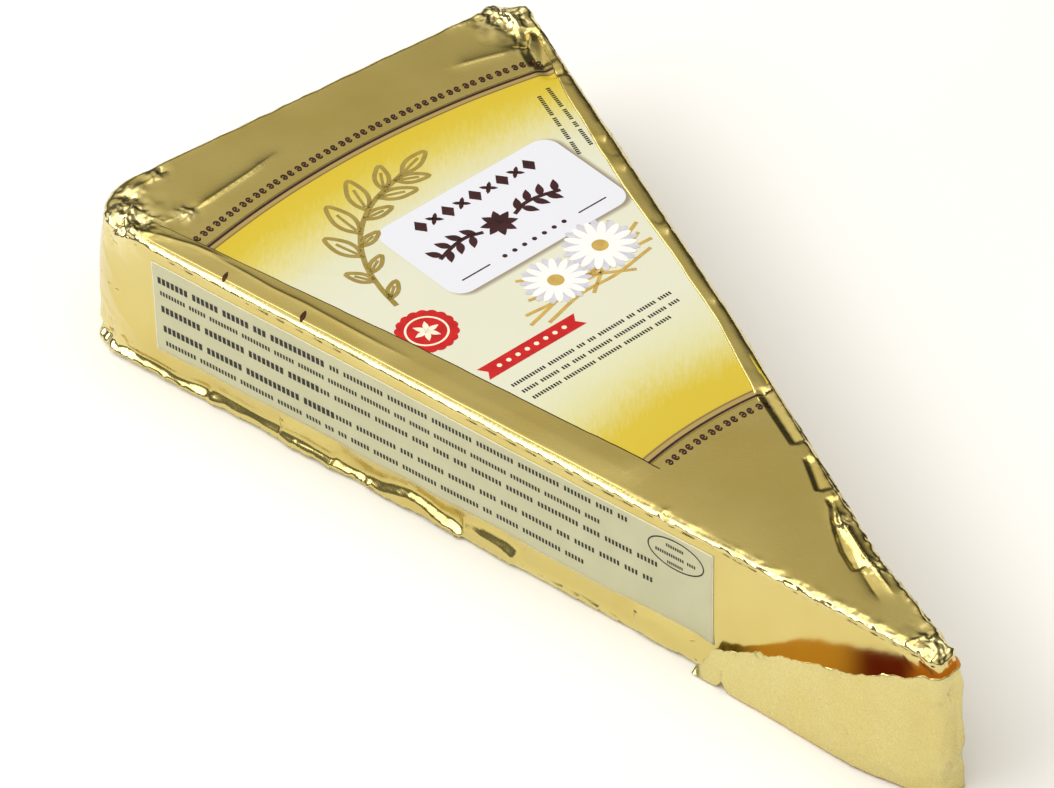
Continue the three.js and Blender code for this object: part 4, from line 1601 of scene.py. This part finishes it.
# place along the spray, side
SPRAY_LEAVES = [(4.2, 1), (5.0, -1), (6.6, 1), (7.4, -1), (9.0, 1), (9.8, -1), (11.4, 1)]
diamond = (np.array([(-1.15, 0), (0, -1.6), (1.15, 0), (0, 1.6)]), [(0, 1, 2, 3)])
marks = []
for i in range(9):
    place = (CARD[0] - 11.0 + 2.75 * i, CARD[1] + 6.6)
    if i % 2:
        marks.append(moved_shape(disc(0.55, 1, 12), place))
        marks += [moved_shape(leaf(1.5, 0.7), place, turn) for turn in SMALL_TURNS]
    else:
        marks.append(moved_shape(diamond, place))
heart = (CARD[0] - 1.6, CARD[1] - 1.0)
marks += [moved_shape(leaf(3.1, 1.5), heart, turn) for turn in turns(8, 0.39)]
spray = [ribbon(SPRAY, 0.7)]
for along, side in SPRAY_LEAVES:
    level = np.interp(along, *zip(*SPRAY))
    spray.append(moved_shape(leaf(3.0, 1.35), (along, level), float(side)))
front_level = CARD[1] - 7.5
for flip in (1, -1):
    marks += [moved_shape(shape, heart, flip=flip) for shape in spray]
    marks.append(moved_shape(bar(5.6, 0.25, 8), (CARD[0] + flip * 11.8, front_level)))
marks += [moved_shape(disc(0.42, 1, 10), (CARD[0] + 2.0 * i, front_level)) for i in range(-3, 4)]
on_print("card_marks", marks, 0.03, ink_maroon)

# %% [markdown]
# ## Camera
#
# The camera is the photo's: its direction, distance and frame were worked out from the corners of
# the wedge. It could be aimed by hand, but its three axes are known, so they are the columns of
# its matrix.

# %% Camera
AZIMUTH, ELEVATION, ROLL = (math.radians(angle) for angle in (-34.897, 41.249, -2.120))
# in mm: how far from the wheel's centre, and how far aside and above the line towards it
DISTANCE, ASIDE, ABOVE = 969.56, -65.18, 60.81
# in pixels of the photo, and the sensor in mm
PHOTO_WIDTH, FOCAL_PIXELS = 1054, 6700
SENSOR = 36

towards_camera = np.array([
    math.sin(AZIMUTH) * math.cos(ELEVATION), -math.cos(AZIMUTH) * math.cos(ELEVATION), math.sin(ELEVATION)
])
level_right = np.array([math.cos(AZIMUTH), math.sin(AZIMUTH), 0])
level_up = np.cross(towards_camera, level_right)
right = math.cos(ROLL) * level_right + math.sin(ROLL) * level_up
up = -math.sin(ROLL) * level_right + math.cos(ROLL) * level_up
bpy.ops.object.camera_add()
camera = bpy.context.object
camera.name = "photo_camera"
spot = to_model(DISTANCE * towards_camera + ASIDE * right + ABOVE * up)
turn = Matrix(np.column_stack([right, up, towards_camera]).tolist()).to_4x4()
camera.matrix_world = Matrix.Translation(Vector(spot)) @ turn
camera.data.sensor_width = SENSOR
camera.data.lens = SENSOR * FOCAL_PIXELS / PHOTO_WIDTH
camera.data.clip_start = 0.01
bpy.context.scene.camera = camera
print("lens:", round(camera.data.lens, 1), "mm, camera at", spot.round(3))

# %% [markdown]
# ## Floor, lights and room
#
# Foil shows its surroundings more than its own colour, so the light is most of the look. A wide
# softbox hangs overhead, and another stands low on the left and draws the bright line along the
# ridge. The room is dark low down, so slopes that face it show as dark strips, and a mid grey
# higher up, which the flat top mirrors. It is darker towards the right. The floor is pale, and
# the left face mirrors it.

# %% Floor
bpy.ops.object.select_all(action="DESELECT")
bpy.ops.mesh.primitive_plane_add(size=2.4)
floor = bpy.context.object
floor.name = "pale_floor"


def floor_wires(nodes):
    cloudy = nodes.noise(nodes.place(), 9)
    return {"Base Color": nodes.mix(cloudy.step(0.2, 0.8), (0.92, 0.92, 0.92), (0.94, 0.94, 0.935))}


FLOOR_SHEEN = {"Roughness": 0.75, "Specular IOR Level": 0.2}
floor.data.materials.append(finish_of("pale_floor", FLOOR_SHEEN, floor_wires))
print("floor:", floor.dimensions.x, "m across")


# %% Lights
def softbox(name, azimuth, elevation, distance, width, height, radiance):
    """A square light that faces the object; its strength is given as what a mirror would show."""
    azimuth, elevation = math.radians(azimuth), math.radians(elevation)
    direction = Vector((
        math.sin(azimuth) * math.cos(elevation), math.cos(azimuth) * math.cos(elevation), math.sin(elevation)
    ))
    bpy.ops.object.light_add(type="AREA", location=direction * distance)
    light = bpy.context.object
    light.name = name
    light.rotation_euler = direction.to_track_quat("Z", "Y").to_euler()
    light.data.shape = "RECTANGLE"
    light.data.size, light.data.size_y = width, height
    light.data.energy = radiance * math.pi * width * height
    print(name + ":", round(light.data.energy, 2), "W")


# azimuth from straight back, clockwise seen from above; elevation, distance, width, height, radiance
softbox("overhead", 0, 88, 1.3, 1.3, 1.3, 1.08)
softbox("left_low", -52, 42, 1.5, 2.1, 0.62, 3.2)

# %% Room
ROOM = [
    # height, from 0 at the horizon to 1 straight up; colour
    (0.0, (0.07, 0.07, 0.07)),
    (0.40, (0.11, 0.11, 0.10)),
    (0.59, (0.56, 0.515, 0.40)),
    (0.8, (0.63, 0.59, 0.53)),
]
world = bpy.data.worlds.new("room")
bpy.context.scene.world = world
world.use_nodes = True
room = Nodes(world.node_tree)
direction = room.add("ShaderNodeTexCoord", output="Generated")
upwards, rightwards = room.along_axis(direction, "Z"), room.along_axis(direction, "X")


def room_ramp(level):
    """The room from the horizon up, at one level of light."""
    stops = [(place, tuple(level * c for c in colour)) for place, colour in ROOM]
    return room.add("ShaderNodeValToRGB", {"stops": stops}, {0: upwards})


to_right = room.add("ShaderNodeMapRange", None, {"Value": rightwards, "From Min": 0.2, "From Max": 0.7})
shade = room.mix(to_right, room_ramp(1.5), room_ramp(0.5))
background = world.node_tree.nodes["Background"]
world.node_tree.links.new(shade.socket, background.inputs["Color"])
bpy.context.scene.view_settings.view_transform = "Standard"
print("room:", len(world.node_tree.nodes), "nodes")
